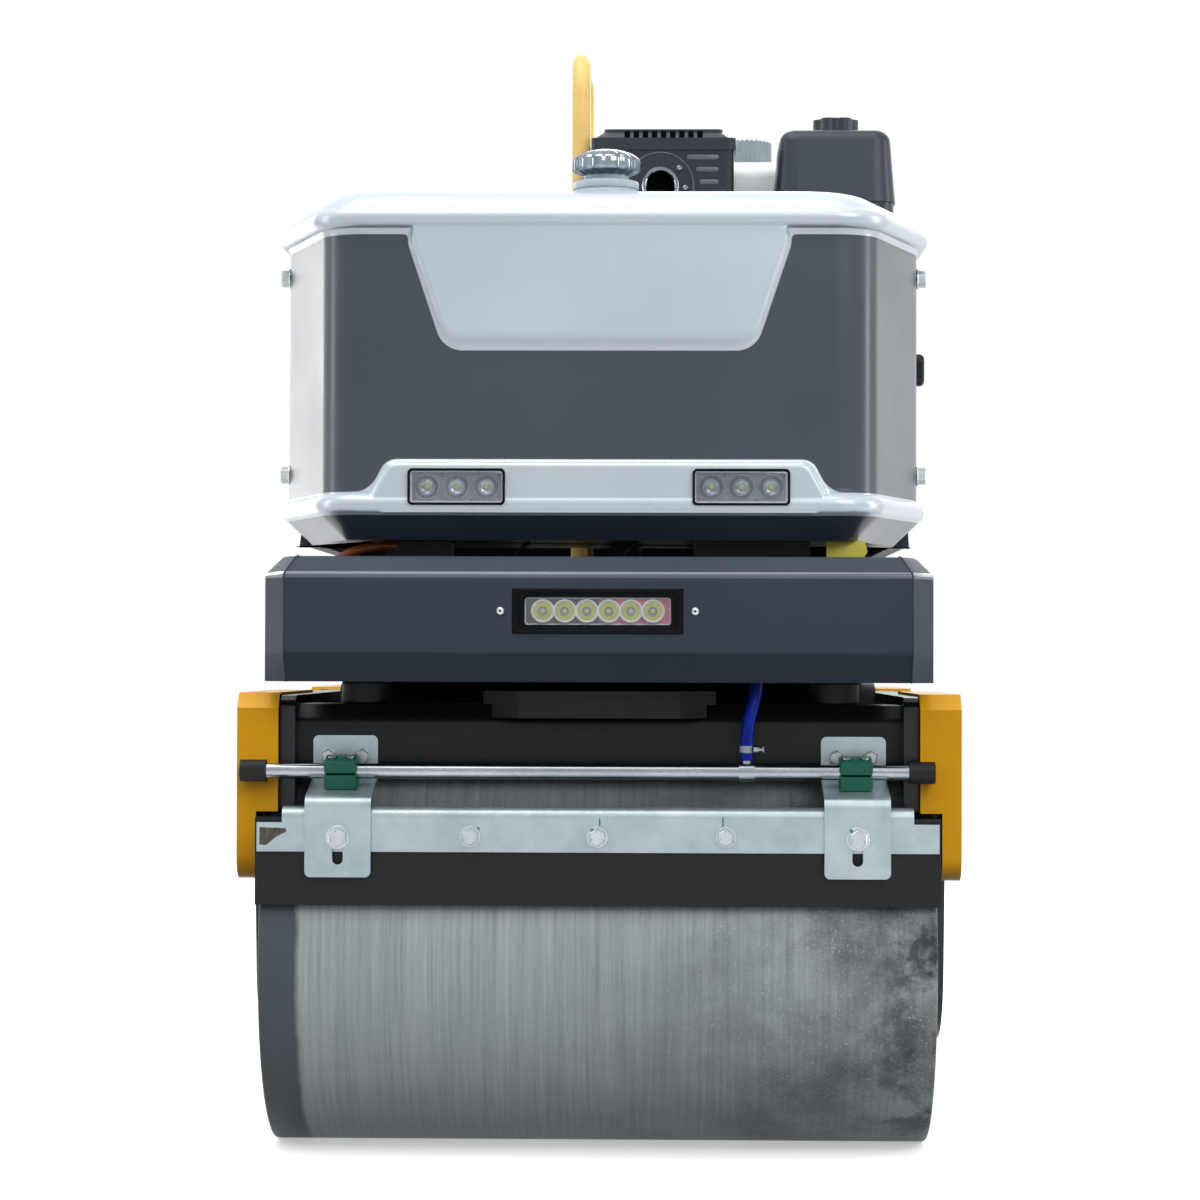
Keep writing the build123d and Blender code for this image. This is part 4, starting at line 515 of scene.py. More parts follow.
RECIPES = {
    # ribbed silver moulding of the fuel cap
    "silver_moulding": coated("8C9698", "798385", 0.35, 0.8, 0.08, blotch_mm=30, specular=0.3),
    "rolled_drum_steel": rolled_drum,
    "two_tone_tank_paint": two_tone_tank,
    "bright_zinc_strip": zinc_strip,
    "clear_polycarbonate": clear_lens,
    # black polyester powder on the frames, dusty from work
    "black_powder_coat": coated("1A1E20", "15181A", 0.4, 0.9, 0.1, blotch_mm=90, dust="4C4F50", dust_share=0.04,
                                specular=0.2),
    # blue-black gloss enamel on the side frames
    "blue_black_enamel": coated("1B2128", "14191E", 0.26, 1.1, 0.05, coat=0.08, blotch_mm=140, specular=0.3),
    # chrome-yellow machine enamel on sheet and tube
    "yellow_enamel": coated("F6B20A", "E8A506", 0.36, 1.2, 0.05, coat=0.04, blotch_mm=160, specular=0.2),
    # sun-bleached yellow enamel on the lifting hoop
    "pale_yellow_enamel": coated("F3CF7C", "EBC36E", 0.3, 1.2, 0.05, coat=0.1, blotch_mm=80, specular=0.25),
    # slate grey powder on the bumpers and panels
    "grey_powder_coat": coated("434D57", "3D4650", 0.46, 0.8, 0.1, blotch_mm=200, spread=0.04,
                               specular=0.1),
    # moulded and extruded black rubber
    "black_rubber": coated("101315", "0B0D0F", 0.5, 1.5, 0.15, blotch_mm=60, dust="3C4041", dust_share=0.06,
                           specular=0.25),
    # polished stainless sprinkler tube
    "polished_tube": metal("A3A8AD", "80868C", 0.2, 6.0, (1.0, 8.0, 8.0), bump=0.01, spread=0.03),
    # glass-filled polypropylene clamp halves
    "green_polypropylene": coated("126350", "0E5544", 0.42, 1.0, 0.1, blotch_mm=30, specular=0.3),
    # blue polyurethane water hose
    "blue_polyurethane": coated("032AA8", "022088", 0.3, 2.0, 0.03, blotch_mm=40, specular=0.12),
    # bright chromium plate, its dark upright streaks painted reflections
    "chrome_painted_reflections": metal("AFB8BF", "55616A", 0.14, 16.0, (1.0, 1.0, 0.12), bump=0.0, spread=0.04),
    # zinc-plated bolts and fittings
    "zinc_bolt": metal("C3CBCD", "AEB7BA", 0.3, 14.0, bump=0.02, spread=0.05, metallic=0.8),
    # stoved gloss black on the muffler cover
    "gloss_black_enamel": coated("2C353C", "252D33", 0.2, 1.4, 0.04, coat=0.12, blotch_mm=80, spread=0.04,
                                 specular=0.25),
    # fine-grained blue-grey polypropylene on the air cleaner and starter
    "satin_black_plastic": coated("2C3641", "252E38", 0.36, 0.7, 0.12, blotch_mm=120, specular=0.4),
    # gloss black moulded knobs
    "dark_plastic": coated("0C0E10", "090A0C", 0.25, 0.8, 0.08, blotch_mm=30, specular=0.25),
    # natural white polyethylene fuel tank
    "white_polyethylene": coated("FCFEFF", "F4F8FA", 0.38, 1.1, 0.05, blotch_mm=90, coat=0.1),
    # sand-cast aluminium engine parts
    "cast_aluminium": metal("9DA1A3", "7C8083", 0.45, 5.0, bump=0.3, spread=0.12, metallic=0.85),
    # turned steel
    "machined_steel": metal("8E9295", "6E7275", 0.35, 3.0, (1.0, 6.0, 6.0), bump=0.1),
    # black nitrile gaskets and bezels round the lamps
    "lamp_gasket": coated("0B0E10", "07090B", 0.45, 1.2, 0.1, blotch_mm=20, specular=0.08),
    # zinc-rich grey primer on the filler neck
    "grey_primer": coated("B2BCC3", "A8B2B9", 0.4, 1.0, 0.06, blotch_mm=60, coat=0.1),
    # metallised plastic behind the work lamps, painted bluish grey in place of its reflection: painted reflection
    "reflector_bluish_painted_reflection": coated("8E9CAC", "7B8998", 0.25, 0.8, 0.06, blotch_mm=18, coat=0.3),
    # metallised cups of the lamp bar, painted white in place of their bright reflection: painted reflection
    "cup_white_painted_reflection": coated("FFFFFF", "F2F5F6", 0.3, 0.6, 0.03, blotch_mm=8, coat=0.5),
    # yellow phosphor over the diodes
    "led_phosphor": coated("DAD668", "C6C254", 0.3, 0.6, 0.05, blotch_mm=6, coat=0.3),
    # bright yellow die in the middle of each diode
    "diode_yellow": coated("DEDA6A", "CFCB58", 0.3, 0.6, 0.03, blotch_mm=6, coat=0.3),
    # red transfer film seen through the lamp bar
    "pink_film": coated("FF7090", "F05F80", 0.35, 0.8, 0.05, blotch_mm=12),
    # orange fuel line
    "orange_hose": coated("A6521F", "86411A", 0.4, 1.5, 0.08, blotch_mm=30),
    # yellow vinyl label, unprinted
    "sticker_yellow": coated("DCCF4C", "D2C440", 0.4, 0.9, 0.03, blotch_mm=30),
    # teal paint mark that shows a tightened bolt
    "paint_mark": coated("1E9C86", "178572", 0.5, 0.8, 0.1, blotch_mm=6),
    # red moulded knobs and gauge needle on the console
    "red_plastic": coated("B3161B", "9A1116", 0.3, 0.9, 0.05, blotch_mm=20, coat=0.2),
    # white dial of the gauge
    "gauge_face": coated("E6E8E6", "DADCDA", 0.25, 1.0, 0.02, blotch_mm=20, coat=0.6),
    # bluish shadowed steel behind the muffler's slots; the same grey makes a painted highlight ring on the outlet
    # plate's edge
    "slot_steel_and_edge_highlight": coated("5C6670", "4D5660", 0.35, 1.0, 0.06, blotch_mm=20),
    # brown-black dirt rubbed into the zinc
    "rubbed_dirt": coated("5A5048", "7D7770", 0.7, 1.0, 0.3, blotch_mm=6, specular=0.1),
    # grey powder coat on the bent-over top edge, lighter and glossier than the face: a painted highlight band along
    # the bend
    "grey_bend_painted_highlight": coated("4C5866", "454F5C", 0.22, 0.8, 0.05, blotch_mm=200, spread=0.04, coat=0.8,
                              specular=0.5),
    # matt near-black put inside openings, gaps and recesses: painted shade
    "painted_shade_black": coated("050607", "030405", 0.8, 1.0, 0.05, blotch_mm=20, specular=0.05),
    # dark stippled plate behind the diodes
    "stippled_plate": coated("3A3D40", "1E2022", 0.4, 0.7, 0.3, blotch_mm=2.5, specular=0.3),
}

# Frame nodes by finish; those that a finer piece replaces have one too.
NODE_FINISH = {
    "rolled_drum_steel": "drum_front drum_rear",
    "machined_steel": "drive_motors_front drive_motors_rear travel_lever",
    "blue_black_enamel": "side_frame_left side_frame_right",
    "black_powder_coat":
        "cross_beam_front cross_beam_rear exciter_housing tie_down_front tie_down_rear frame_channels "
        "frame_ends deck engine_bed handle_bracket",
    "yellow_enamel":
        "side_cover_front_left side_cover_front_right side_cover_rear_left side_cover_rear_right "
        "handle_frame",
    "bright_zinc_strip": "scraper_brackets_front scraper_brackets_rear scraper_angle_front scraper_angle_rear",
    "black_rubber":
        "scraper_blade_front scraper_blade_rear spray_caps_front spray_caps_rear rubber_mounts tank_seats "
        "handle_grips",
    "polished_tube": "spray_tube_front spray_tube_rear water_valve_front water_valve_rear",
    "green_polypropylene": "tube_clamps_front tube_clamps_rear",
    "blue_polyurethane": "water_hose_front water_hose_rear",
    "grey_powder_coat": "bumper_front bumper_rear hood_front hood_rear side_panel_left service_door handle_console",
    "lamp_gasket": "light_bar hood_lamps",
    "chrome_painted_reflections": "filler_cap",
    "dark_plastic": "door_latch",
    "zinc_bolt": "door_hinges",
    "cast_aluminium": "engine_block hydraulic_pump",
    "satin_black_plastic": "recoil_starter air_cleaner",
    "gloss_black_enamel": "muffler",
    "white_polyethylene": "fuel_tank",
    "pale_yellow_enamel": "lifting_hoop",
}


# --------------------------------------------------------------------------
# Settings
# --------------------------------------------------------------------------
class RollerStageSettings(bpy.types.PropertyGroup):
    """Studio round the machine."""
    sky: bpy.props.FloatProperty(name="Soft light", description="Strength of the even light from all round",
                                 default=0.66, min=0.0)
    key: bpy.props.FloatProperty(name="Overhead lamp", description="Power of the large overhead lamp",
                                 default=55.0, min=0.0, unit="POWER")
    fill: bpy.props.FloatProperty(name="Front lamp", description="Power of the lamp ahead of the machine",
                                  default=44.0, min=0.0, unit="POWER")
    strips: bpy.props.FloatProperty(name="Side strips", description="Power of the upright strips at the sides",
                                    default=14.0, min=0.0, unit="POWER")


class RollerHoodSettings(bpy.types.PropertyGroup):
    """Sizes of the pressed water tank in front and of the rear housing."""
    bead: bpy.props.FloatProperty(name="Bead height", description="How far the lower bead stands out",
                                  default=0.008, unit="LENGTH")
    rim: bpy.props.FloatProperty(name="Rim height", description="How far the top rim stands out",
                                 default=0.012, unit="LENGTH")
    emboss: bpy.props.FloatProperty(name="Emboss", description="How far the plaque and the sill stand out",
                                    default=0.008, unit="LENGTH")


class RollerHardwareSettings(bpy.types.PropertyGroup):
    """Sizes of the bolts."""
    bolt: bpy.props.FloatProperty(name="Across flats", description="Size of the common bolt head",
                                  default=0.016, unit="LENGTH")


# --------------------------------------------------------------------------
# Operators
# --------------------------------------------------------------------------
class ROLLER_OT_paint_nodes(bpy.types.Operator):
    """Give each frame node its finish"""
    bl_idname = "roller.paint_nodes"
    bl_label = "Finish frame nodes"

    def execute(self, context):
        for finish_name, names in NODE_FINISH.items():
            for name in names.split():
                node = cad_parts.get(name)
                if node is None:
                    raise RuntimeError("no frame node called " + name)
                node.data.materials.clear()
                node.data.materials.append(finish(finish_name))
        return {"FINISHED"}


# Camera: sensor and lens in millimetres, place in metres (Y from the front drum's line), turns in degrees.
SENSOR, LENS = 36.0, 96.99
CAMERA_PLACE = (0.072, FRONT - 3.328, 0.520)
CAMERA_TURNS = ((1.205, "Z"), (91.063, "X"), (0.17, "Z"))
FLOOR_HALF = 14.0


def seen_rays(tree):
    """1 for rays from the camera, off a mirror or through a clear body, 0 for the rest."""
    rays = tree.nodes.new("ShaderNodeLightPath").outputs
    seen = add(tree, "Math", {0: rays["Is Camera Ray"], 1: rays["Is Glossy Ray"]}, operation="MAXIMUM")
    return add(tree, "Math", {0: seen, 1: rays["Is Transmission Ray"]}, operation="MAXIMUM")


class ROLLER_OT_stage(bpy.types.Operator):
    """Set up the camera, lamps, world and floor"""
    bl_idname = "roller.stage"
    bl_label = "Stage"

    def execute(self, context):
        scene = context.scene
        settings = scene.roller_stage
        view = bpy.data.cameras.new("camera")
        view.sensor_width, view.lens, view.clip_end = SENSOR, LENS, 60.0
        camera = bpy.data.objects.new("camera", view)
        stand = Matrix.Translation(CAMERA_PLACE)
        for degrees, axis in CAMERA_TURNS:
            stand = stand @ Matrix.Rotation(math.radians(degrees), 4, axis)
        camera.matrix_world = stand
        scene.collection.objects.link(camera)
        scene.camera = camera

        world = bpy.data.worlds.new("studio")
        world.use_nodes = True
        scene.world = world
        tree = world.node_tree
        tree.nodes.clear()
        soft = add(tree, "Background", {"Color": "F4F8FF", "Strength": settings.sky})
        white = add(tree, "Background", {"Color": "FFFFFF", "Strength": 1})
        both = add(tree, "MixShader", {0: seen_rays(tree), 1: soft, 2: white})
        plug(tree, tree.nodes.new("ShaderNodeOutputWorld"), {0: both})

        key, fill, strips = settings.key, settings.fill, settings.strips
        for name, place, aim, size, power in (
                ("overhead", (-0.6, FRONT - 0.4, 3.4), (0.0, MIDDLE, 0.6), (2.6, 2.6), key),
                ("ahead", (1.7, FRONT - 2.6, 2.7), (0.0, FRONT, 0.6), (2.2, 2.0), fill),
                ("behind", (0.8, REAR + 3.0, 2.6), (0.0, REAR, 0.6), (2.4, 2.4), fill),
                ("left_strip", (-3.0, FRONT + 0.2, 1.0), (0.0, FRONT, 0.8), (0.45, 2.4), strips * 1.05),
                ("right_strip", (3.0, FRONT + 0.2, 1.0), (0.0, FRONT, 0.8), (0.45, 2.4), strips * 1.6),
                ("left_back_strip", (-1.9, FRONT + 2.6, 1.0), (-0.3, FRONT, 0.9), (0.9, 2.2), strips * 1.1),
                ("right_back_strip", (2.0, FRONT + 2.6, 1.0), (0.3, FRONT, 0.9), (0.9, 2.2), strips * 0.3)):
            lamp = bpy.data.lights.new(name, "AREA")
            lamp.shape = "RECTANGLE"
            lamp.size, lamp.size_y = size
            lamp.energy = power
            holder = bpy.data.objects.new(name, lamp)
            aimed = (Vector(aim) - Vector(place)).to_track_quat("-Z", "Y")
            holder.matrix_world = Matrix.Translation(place) @ aimed.to_matrix().to_4x4()
            scene.collection.objects.link(holder)

        floor_mesh = bpy.data.meshes.new("floor")
        h = FLOOR_HALF
        floor_mesh.from_pydata([(-h, -h, 0), (h, -h, 0), (h, h, 0), (-h, h, 0)], [], [(0, 1, 2, 3)])
        floor = bpy.data.objects.new("floor", floor_mesh)
        scene.collection.objects.link(floor)
        material, tree, shader, _ = start("studio_floor")
        seen = seen_rays(tree)
        plug(tree, shader, {"Base Color": add(tree, "Mix", {0: seen, 6: "323230", 7: "FFFFFF"}, **COLOUR),
                            "Roughness": 0.9, "Specular IOR Level": 0.1, "Emission Color": "FFFFFF",
                            "Emission Strength": add(tree, "MapRange", {"Value": seen, "To Max": 0.42})})
        floor_mesh.materials.append(material)
        scene.view_settings.view_transform = "Standard"
        return {"FINISHED"}


# Plan of the pressed tank: corners (X, distance back) and their radii, as in the frame's own part.
TANK_PLAN = ((-343, 310), (-343, 200), (-279, 20), (279, 20), (343, 200), (343, 310))
TANK_RADII = (2, 80, 50, 50, 80, 2)
TANK_BACK = 310
PANEL_LOW, PANEL_HIGH = 694.0, 962.0
CROWN_LOW, CROWN_RISE = 990, 24
PLAQUE = ((-162, 841), (162, 841), (210, 984), (-210, 984))
PLAQUE_FACE = ((-158, 859), (158, 859), (200, 984), (-200, 984))
SILL = ((-250, 672), (250, 672), (221, 728), (-221, 728))
SILL_FACE = ((-242, 672), (242, 672), (214, 721), (-214, 721))
LAMP_X, LAMP_Z, LAMP_W, LAMP_H = 147.5, 699.0, 101.0, 38.0
# The filler neck's axis (X, distance back).
NECK = (5, 110)


def pressed_height(x, z, outer, outer_round, face, face_round, height):
    """Height of a pressed form: 0 outside its outer edge, full on its face, a smooth slope between them."""
    out = np.maximum(-polygon_distance(x, z, outer, outer_round), 0)
    into = np.maximum(polygon_distance(x, z, face, face_round), 0)
    share = out / (out + into + 1e-6)
    return height * share * share * (3 - 2 * share)


def hood_skin(settings, rear):
    """Skin of a pressed tank. Each point is the tank's plan outline moved out along its normal by the profile's
    offset at that height, or by the height of the plaque or the sill where that is more; the crown is the rim's
    ring drawn towards the middle of its back edge while it rises. The lamps' pockets are left open."""
    bead, rim, press = settings.bead / MM, settings.rim / MM, settings.emboss / MM
    points, normals = resample(rounded_outline(TANK_PLAN, TANK_RADII, 4.0), 2.2)
    low = arc((bead - 12, 681), 12, -45, 70, 18)
    high = arc((rim - 11, 979), 11, -80, 88, 26)
    walls = np.linspace(PANEL_LOW + 3, PANEL_HIGH - 2, 125)
    profile = np.concatenate((((-60, 645), (-25, 645), (-24, 645.9)),
                              np.linspace((-23, 646.8), low[0], 8)[:-1], low, ((0.5, PANEL_LOW + 1.5),),
                              np.stack((np.zeros_like(walls), walls), axis=1),
                              ((0.3, PANEL_HIGH), (0.9, PANEL_HIGH + 2), (1.8, PANEL_HIGH + 4)), high))
    offset = np.broadcast_to(profile[:, 0][None], (len(points), len(profile)))
    height = np.broadcast_to(profile[:, 1][None], offset.shape)
    x = np.broadcast_to(points[:, 0][:, None], offset.shape)
    silver = -np.maximum(height - PANEL_HIGH, np.minimum(PANEL_LOW - height, (height - 670) * 1.4))
    if not rear:
        front = (normals[:, 1] < -0.9)[:, None] & (height > SILL[0][1])
        pressed = np.maximum(pressed_height(x, height, PLAQUE, 28, PLAQUE_FACE, 18, press),
                             pressed_height(x, height, SILL, 18, SILL_FACE, 12, press - 2))
        offset = np.where(front, np.maximum(offset, pressed), offset)
        painted = soft_min(silver, polygon_distance(x, height, PLAQUE, 28), 6)
        painted = soft_min(painted, polygon_distance(x, height, SILL, 18), 16)
        silver = np.where(front, painted, silver)
    plan_points = points[:, None] + normals[:, None] * offset[..., None]
    # crown: the last ring, drawn in and raised
    share = np.concatenate((np.linspace(0.004, 0.05, 10), np.linspace(0.06, 0.28, 14)))
    ring = plan_points[:, -1]
    crown_x = ring[:, 0][:, None] * (1 - share)
    crown_y = TANK_BACK + (ring[:, 1][:, None] - TANK_BACK) * (1 - share)
    crown_z = CROWN_LOW + CROWN_RISE * (1 - np.exp(-share / 0.055))
    crown = np.stack((crown_x, crown_y, np.broadcast_to(crown_z[None], crown_x.shape)), axis=-1)
    every = np.concatenate((np.concatenate((plan_points, height[..., None]), axis=-1), crown), axis=1)
    silver = np.concatenate((silver, np.full(crown.shape[:2], -30.0)), axis=1)
    world = to_world(every)
    keep = None
    if rear:
        world[..., 1] = 2 * MIDDLE - world[..., 1]
    else:
        near, far = every[:, :-1], every[:, 1:]
        middle_x = 0.25 * (near + far + np.roll(near, -1, axis=0) + np.roll(far, -1, axis=0))[..., 0]
        middle_z = 0.5 * (near + far)[..., 2]
        keep = ~((np.abs(np.abs(middle_x) - LAMP_X) < LAMP_W / 2 - 4)
                 & (np.abs(middle_z - LAMP_Z) < LAMP_H / 2 - 4) & (near[..., 1] < 40))
    skin = Shape()
    first = skin.grid(world, loop_u=True, flip=not rear, value=-silver, keep=keep)
    count = every.shape[1]
    bottom = first + np.arange(len(points)) * count
    top = bottom + count - 1
    skin.cap(top[::-1] if rear else top)
    # drawn in by more than its corners' radius, the lowest ring crosses itself there: in this order its face fills
    skin.cap(bottom[::-1] if rear else bottom)
    return skin


class ROLLER_OT_hood(bpy.types.Operator):
    """Press the front water tank with its plaque, sill and filler neck"""
    bl_idname = "roller.hood"
    bl_label = "Front tank"

    def execute(self, context):
        skin = hood_skin(context.scene.roller_hood, rear=False)
        skin.rise(circle(35, 72), ((0, 1004), (0, 1018), (0.5, 1018.8), (1.8, 1019), (1.8, 1020.6), (0.5, 1020.8),
                                   (0, 1021.6), (0, 1027.6), (0.8, 1028.6), (3, 1029), (11, 1029.2), (11, 1036)),
                  standing(*NECK, 0), 1)
        skin.build("hood_front_skin", ("two_tone_tank_paint", "grey_primer"), sharp=40, replaces=("hood_front",),
                   attribute="silver_mm")
        cap = Shape()
        cap.rise(lobed(36.5, 14, 1.6, 224), ((16, 0), (13.5, 0.4), (7, 3), (3, 4.8), (0.8, 5.8), (0, 7), (0, 17.5),
                                             (0.8, 19.2), (2.4, 20.8), (6, 23.2), (11, 25.6), (17, 27.6),
                                             (24, 29), (31, 29.6)), standing(*NECK, 1034))
        cap.build("filler_cap_dome", ("chrome_painted_reflections",), sharp=50, replaces=("filler_cap",))
        return {"FINISHED"}


class ROLLER_OT_rear_hood(bpy.types.Operator):
    """Press the rear housing"""
    bl_idname = "roller.rear_hood"
    bl_label = "Rear housing"

    def execute(self, context):
        hood_skin(context.scene.roller_hood, rear=True).build(
            "hood_rear_skin", ("two_tone_tank_paint",), sharp=40, replaces=("hood_rear",), attribute="silver_mm")
        return {"FINISHED"}


def ring_plate(shape, outer, inner, low, high, place, slot, ease=0.8):
    """A flat frame between two outlines with the same number of points, eased at its front edges."""
    points_out, normals_out = outer
    points_in, normals_in = inner
    rows = [(points_out, low), (points_out, high - ease), (points_out - normals_out * ease, high),
            (points_in + normals_in * ease, high), (points_in, high - ease), (points_in, low)]
    local = np.stack([np.concatenate((p, np.full((len(p), 1), h)), axis=1) for p, h in rows])
    shape.grid(in_place(local, place), slot, loop_u=True, loop_v=True)


def dish(shape, place, low, high, outer, inner, slot):
    """A reflector: a round wall up to its lip, then a hollow z = low + (high - low) (r / outer)^2 inside."""
    r = np.linspace(outer - 0.5, inner, 10)
    hollow = low + (high - low) * (r / outer) ** 2
    profile = np.concatenate((((0, low), (0, high), (0.5, high)), np.stack((outer - r, hollow), axis=1)))
    shape.rise(circle(outer, 40), profile, place, slot)


def dome(shape, place, low, radius, height, slot, count=24):
    """A round dome of the given radius and height."""
    t = np.linspace(0, math.pi / 2, 7)
    profile = np.stack((radius * (1 - np.cos(t)) * 0.97, low + height * np.sin(t)), axis=1)
    shape.rise(circle(radius, count), profile, place, slot)


# Finishes of the lamps, and the slot of each.
LAMP_FINISHES = ("lamp_gasket", "reflector_bluish_painted_reflection", "chrome_painted_reflections", "clear_polycarbonate", "led_phosphor",
                 "dark_plastic", "pink_film", "zinc_bolt", "cup_white_painted_reflection", "stippled_plate", "diode_yellow")
GASKET, REFLECTOR, CHROME, CLEAR, PHOSPHOR, SOCKET_SHADE, FILM, ZINC, CUP, STIPPLED, DIODE = range(11)


def screw(shape, place, low, radius, height):
    """A cross-head screw of a lamp: a domed head, with a small dark dome in the middle as painted shade in its
    socket.
    """
    dome(shape, place, low, radius, height, ZINC)
    dome(shape, place, low + height * 0.8, radius * 0.36, height * 0.28, SOCKET_SHADE, 12)


class ROLLER_OT_lamps(bpy.types.Operator):
    """Fit the two work lamps in the tank's sill and the lamp bar in the bumper"""
    bl_idname = "roller.lamps"
    bl_label = "Lamps"

    def execute(self, context):
        lamps = Shape()
        for side in (-1, 1):
            place = facing_front(side * LAMP_X, 12, LAMP_Z)
            ring_plate(lamps, box_outline(LAMP_W, LAMP_H, 5), box_outline(LAMP_W - 5, LAMP_H - 5, 3), -4, 3.0,
                       place, GASKET)
            lamps.rise(box_outline(LAMP_W - 2, LAMP_H - 2, 4), ((0, -9), (0, -8)), place, REFLECTOR)
            for x in (-31, 0, 31):
                here = moved(place, x, 0)
                dish(lamps, here, -8, 0.2, 13.2, 4.0, CHROME)
                ring_plate(lamps, circle(9.0, 40), circle(7.6, 40), -6, -3.2, here, REFLECTOR, 0.3)
                dome(lamps, here, -7.5, 3.6, 3.0, PHOSPHOR)
            for x, y in ((44.5, 11.5), (-44.5, -11.5), (-15.5, 12.5), (15.5, -12.5)):
                screw(lamps, moved(place, x, y), -8, 2.2, 3.0)
            lamps.rise(box_outline(LAMP_W - 5.4, LAMP_H - 5.4, 3), ((0, 1.2), (0, 1.9), (0.6, 2.3)), place, CLEAR)
        lamps.build("hood_lamp_units", LAMP_FINISHES, sharp=35, replaces=("hood_lamps",))

        bar = Shape()
        place = facing_front(0, depth_of("light_bar"), 570)
        # bezels, each inside and behind the last: outer and inner (width, height, radius), low, high, slot, ease
        for outer, inner, low, high, slot, ease in (
                ((175.2, 46, 4), (163, 38.6, 5), -3, 0, GASKET, 0.9),
                ((164, 39.6, 5), (157, 33, 4), -6, -1.4, GASKET, 0.9),
                ((158, 34, 4), (150, 28, 3), -9, -2.2, GASKET, 0.5),
                ((151, 29, 3), (147.5, 25.5, 2), -9, -7.6, CUP, 0.3)):
            ring_plate(bar, box_outline(*outer), box_outline(*inner), low, high, place, slot, ease)
        bar.rise(box_outline(152, 30, 3), ((0, -9.6), (0, -9)), place, FILM)
        bar.rise(rounded_outline(((-76, -14.6), (1, -14.6), (1, 14.6), (-76, 14.6)), 2), ((0, -9), (0, -8.6)),
                 place, STIPPLED)
        cups, pitch = 6, 22.6
        for i in range(cups):
            here = moved(place, (i - (cups - 1) / 2) * pitch, 0)
            # neighbouring rims overlap, so each stands a hair higher than the last
            ring_plate(bar, circle(12.3), circle(9.8), -8.8, -3.6 + 0.05 * i, here, CUP, 0.9)
            bar.rise(circle(10.2, 40), ((0, -8), (0, -4.4), (3, -4.2)), here, PHOSPHOR)
            bar.rise(circle(4.7, 28), ((0, -5), (0, -3.5), (0.5, -3.3), (0.9, -3.5), (1.2, -3.8)), here, REFLECTOR)
            dome(bar, here, -4.3, 2.7, 1.0, DIODE, 20)
        bar.rise(box_outline(151, 29, 3), ((0, -2.9), (0, -2.5), (0.4, -2.2)), place, CLEAR)
        for x in (-100, 100):
            screw(bar, moved(place, x, 0), -2, 4.4, 3.0)
        bar.build("light_bar_unit", LAMP_FINISHES, sharp=35, replaces=("light_bar",))
        return {"FINISHED"}


def bolt(shape, place, low, size):
    """A hexagon-head bolt with its washer, standing on the plane `low`."""
    base, head = low + 2.0, size * 0.55
    shape.rise(circle(size * 0.7, 32), ((0.3, low), (0, low + 0.4), (0, low + 1.6), (0.4, base)), place)
    shape.rise(hexagon(size), ((0, base), (0, base + head - 0.9), (0.9, base + head)), place)
    shape.rise(circle(size * 0.36, 20), ((0, base + head - 0.2), (0.4, base + head + 0.25)), place)


class ROLLER_OT_scraper_bolts(bpy.types.Operator):
    """Bolt the scraper strips, the brackets and the wall plates"""
    bl_idname = "roller.scraper_bolts"
    bl_label = "Scraper bolts"

    def execute(self, context):
        size = context.scene.roller_hardware.bolt / MM
        strip, bracket, wall = depth_of("scraper_angle_front"), depth_of("scraper_brackets_front"), 75
        for end in ENDS:
            bolts = Shape()
            for x in (-131, 0, 132):
                bolt(bolts, facing_out(end, x, strip, 338), 0, size)
            for x in (-267, 267):
                bolt(bolts, facing_out(end, x, bracket, 337), 0, size + 1.5)
                for dx in (-18, 18):
                    bolt(bolts, facing_out(end, x + dx, wall, 418), 0, 13)
            bolts.build("scraper_bolts_" + end, ("zinc_bolt",))
        return {"FINISHED"}


def mitred(path, inward):
    """Plan path moved inwards: each corner slides along its mitre, so that both its sides move by `inward`."""
    step = np.diff(path, axis=0)
    normal = np.stack((-step[:, 1], step[:, 0]), axis=1) / np.linalg.norm(step, axis=1, keepdims=True)
    before = np.vstack((normal[:1], normal))
    after = np.vstack((normal, normal[-1:]))
    mitre = (before + after) / (1 + (before * after).sum(axis=1, keepdims=True))
    return path[:, None] + mitre[:, None] * np.asarray(inward)[None, :, None]


# Folded bumper: plan path of its face, the lamp bar's opening between two heights, and the section as (inwards
# from the face, height). Its outer face runs from the bottom up to the top edge, its inner face back down.
BUMPER_PLAN = np.array(((-347, 60), (-347, 27), (-323, -15), (-87.9, -15), (87.9, -15), (323, -15), (347, 27),
                        (347, 60)), dtype=float)
LIGHT_LOW, LIGHT_HIGH = 546.7, 593.3
SHEET = 4.5
SECTION_OUT = np.concatenate((((22, 497), (4, 522.4)), arc((5, 528.9), 5, 215, 180, 5),
                              ((0, LIGHT_LOW), (0, LIGHT_HIGH)), arc((9, 604), 9, 180, 135, 7),
                              arc((22.8, 617.8), 9, 135, 90, 7)))
SECTION_IN = np.array(((22.8, 622.3), (18, 620), (6.5, 607.5), (SHEET, 602), (SHEET, LIGHT_HIGH),
                       (SHEET, LIGHT_LOW), (SHEET, 531), (27, 498.5)))
# Rows of the section below its lower bend, at the bend of its top edge and round the opening.
LOWER_BEND = 532
BEND_ROWS = range(9, 15)
LOW_OUT, HIGH_OUT, HIGH_IN, LOW_IN = 7, 8, 27, 28
# The plan's side that has the opening, and the corners that are welded.
LIGHT_SIDE, WELDED = 3, (2, 5)


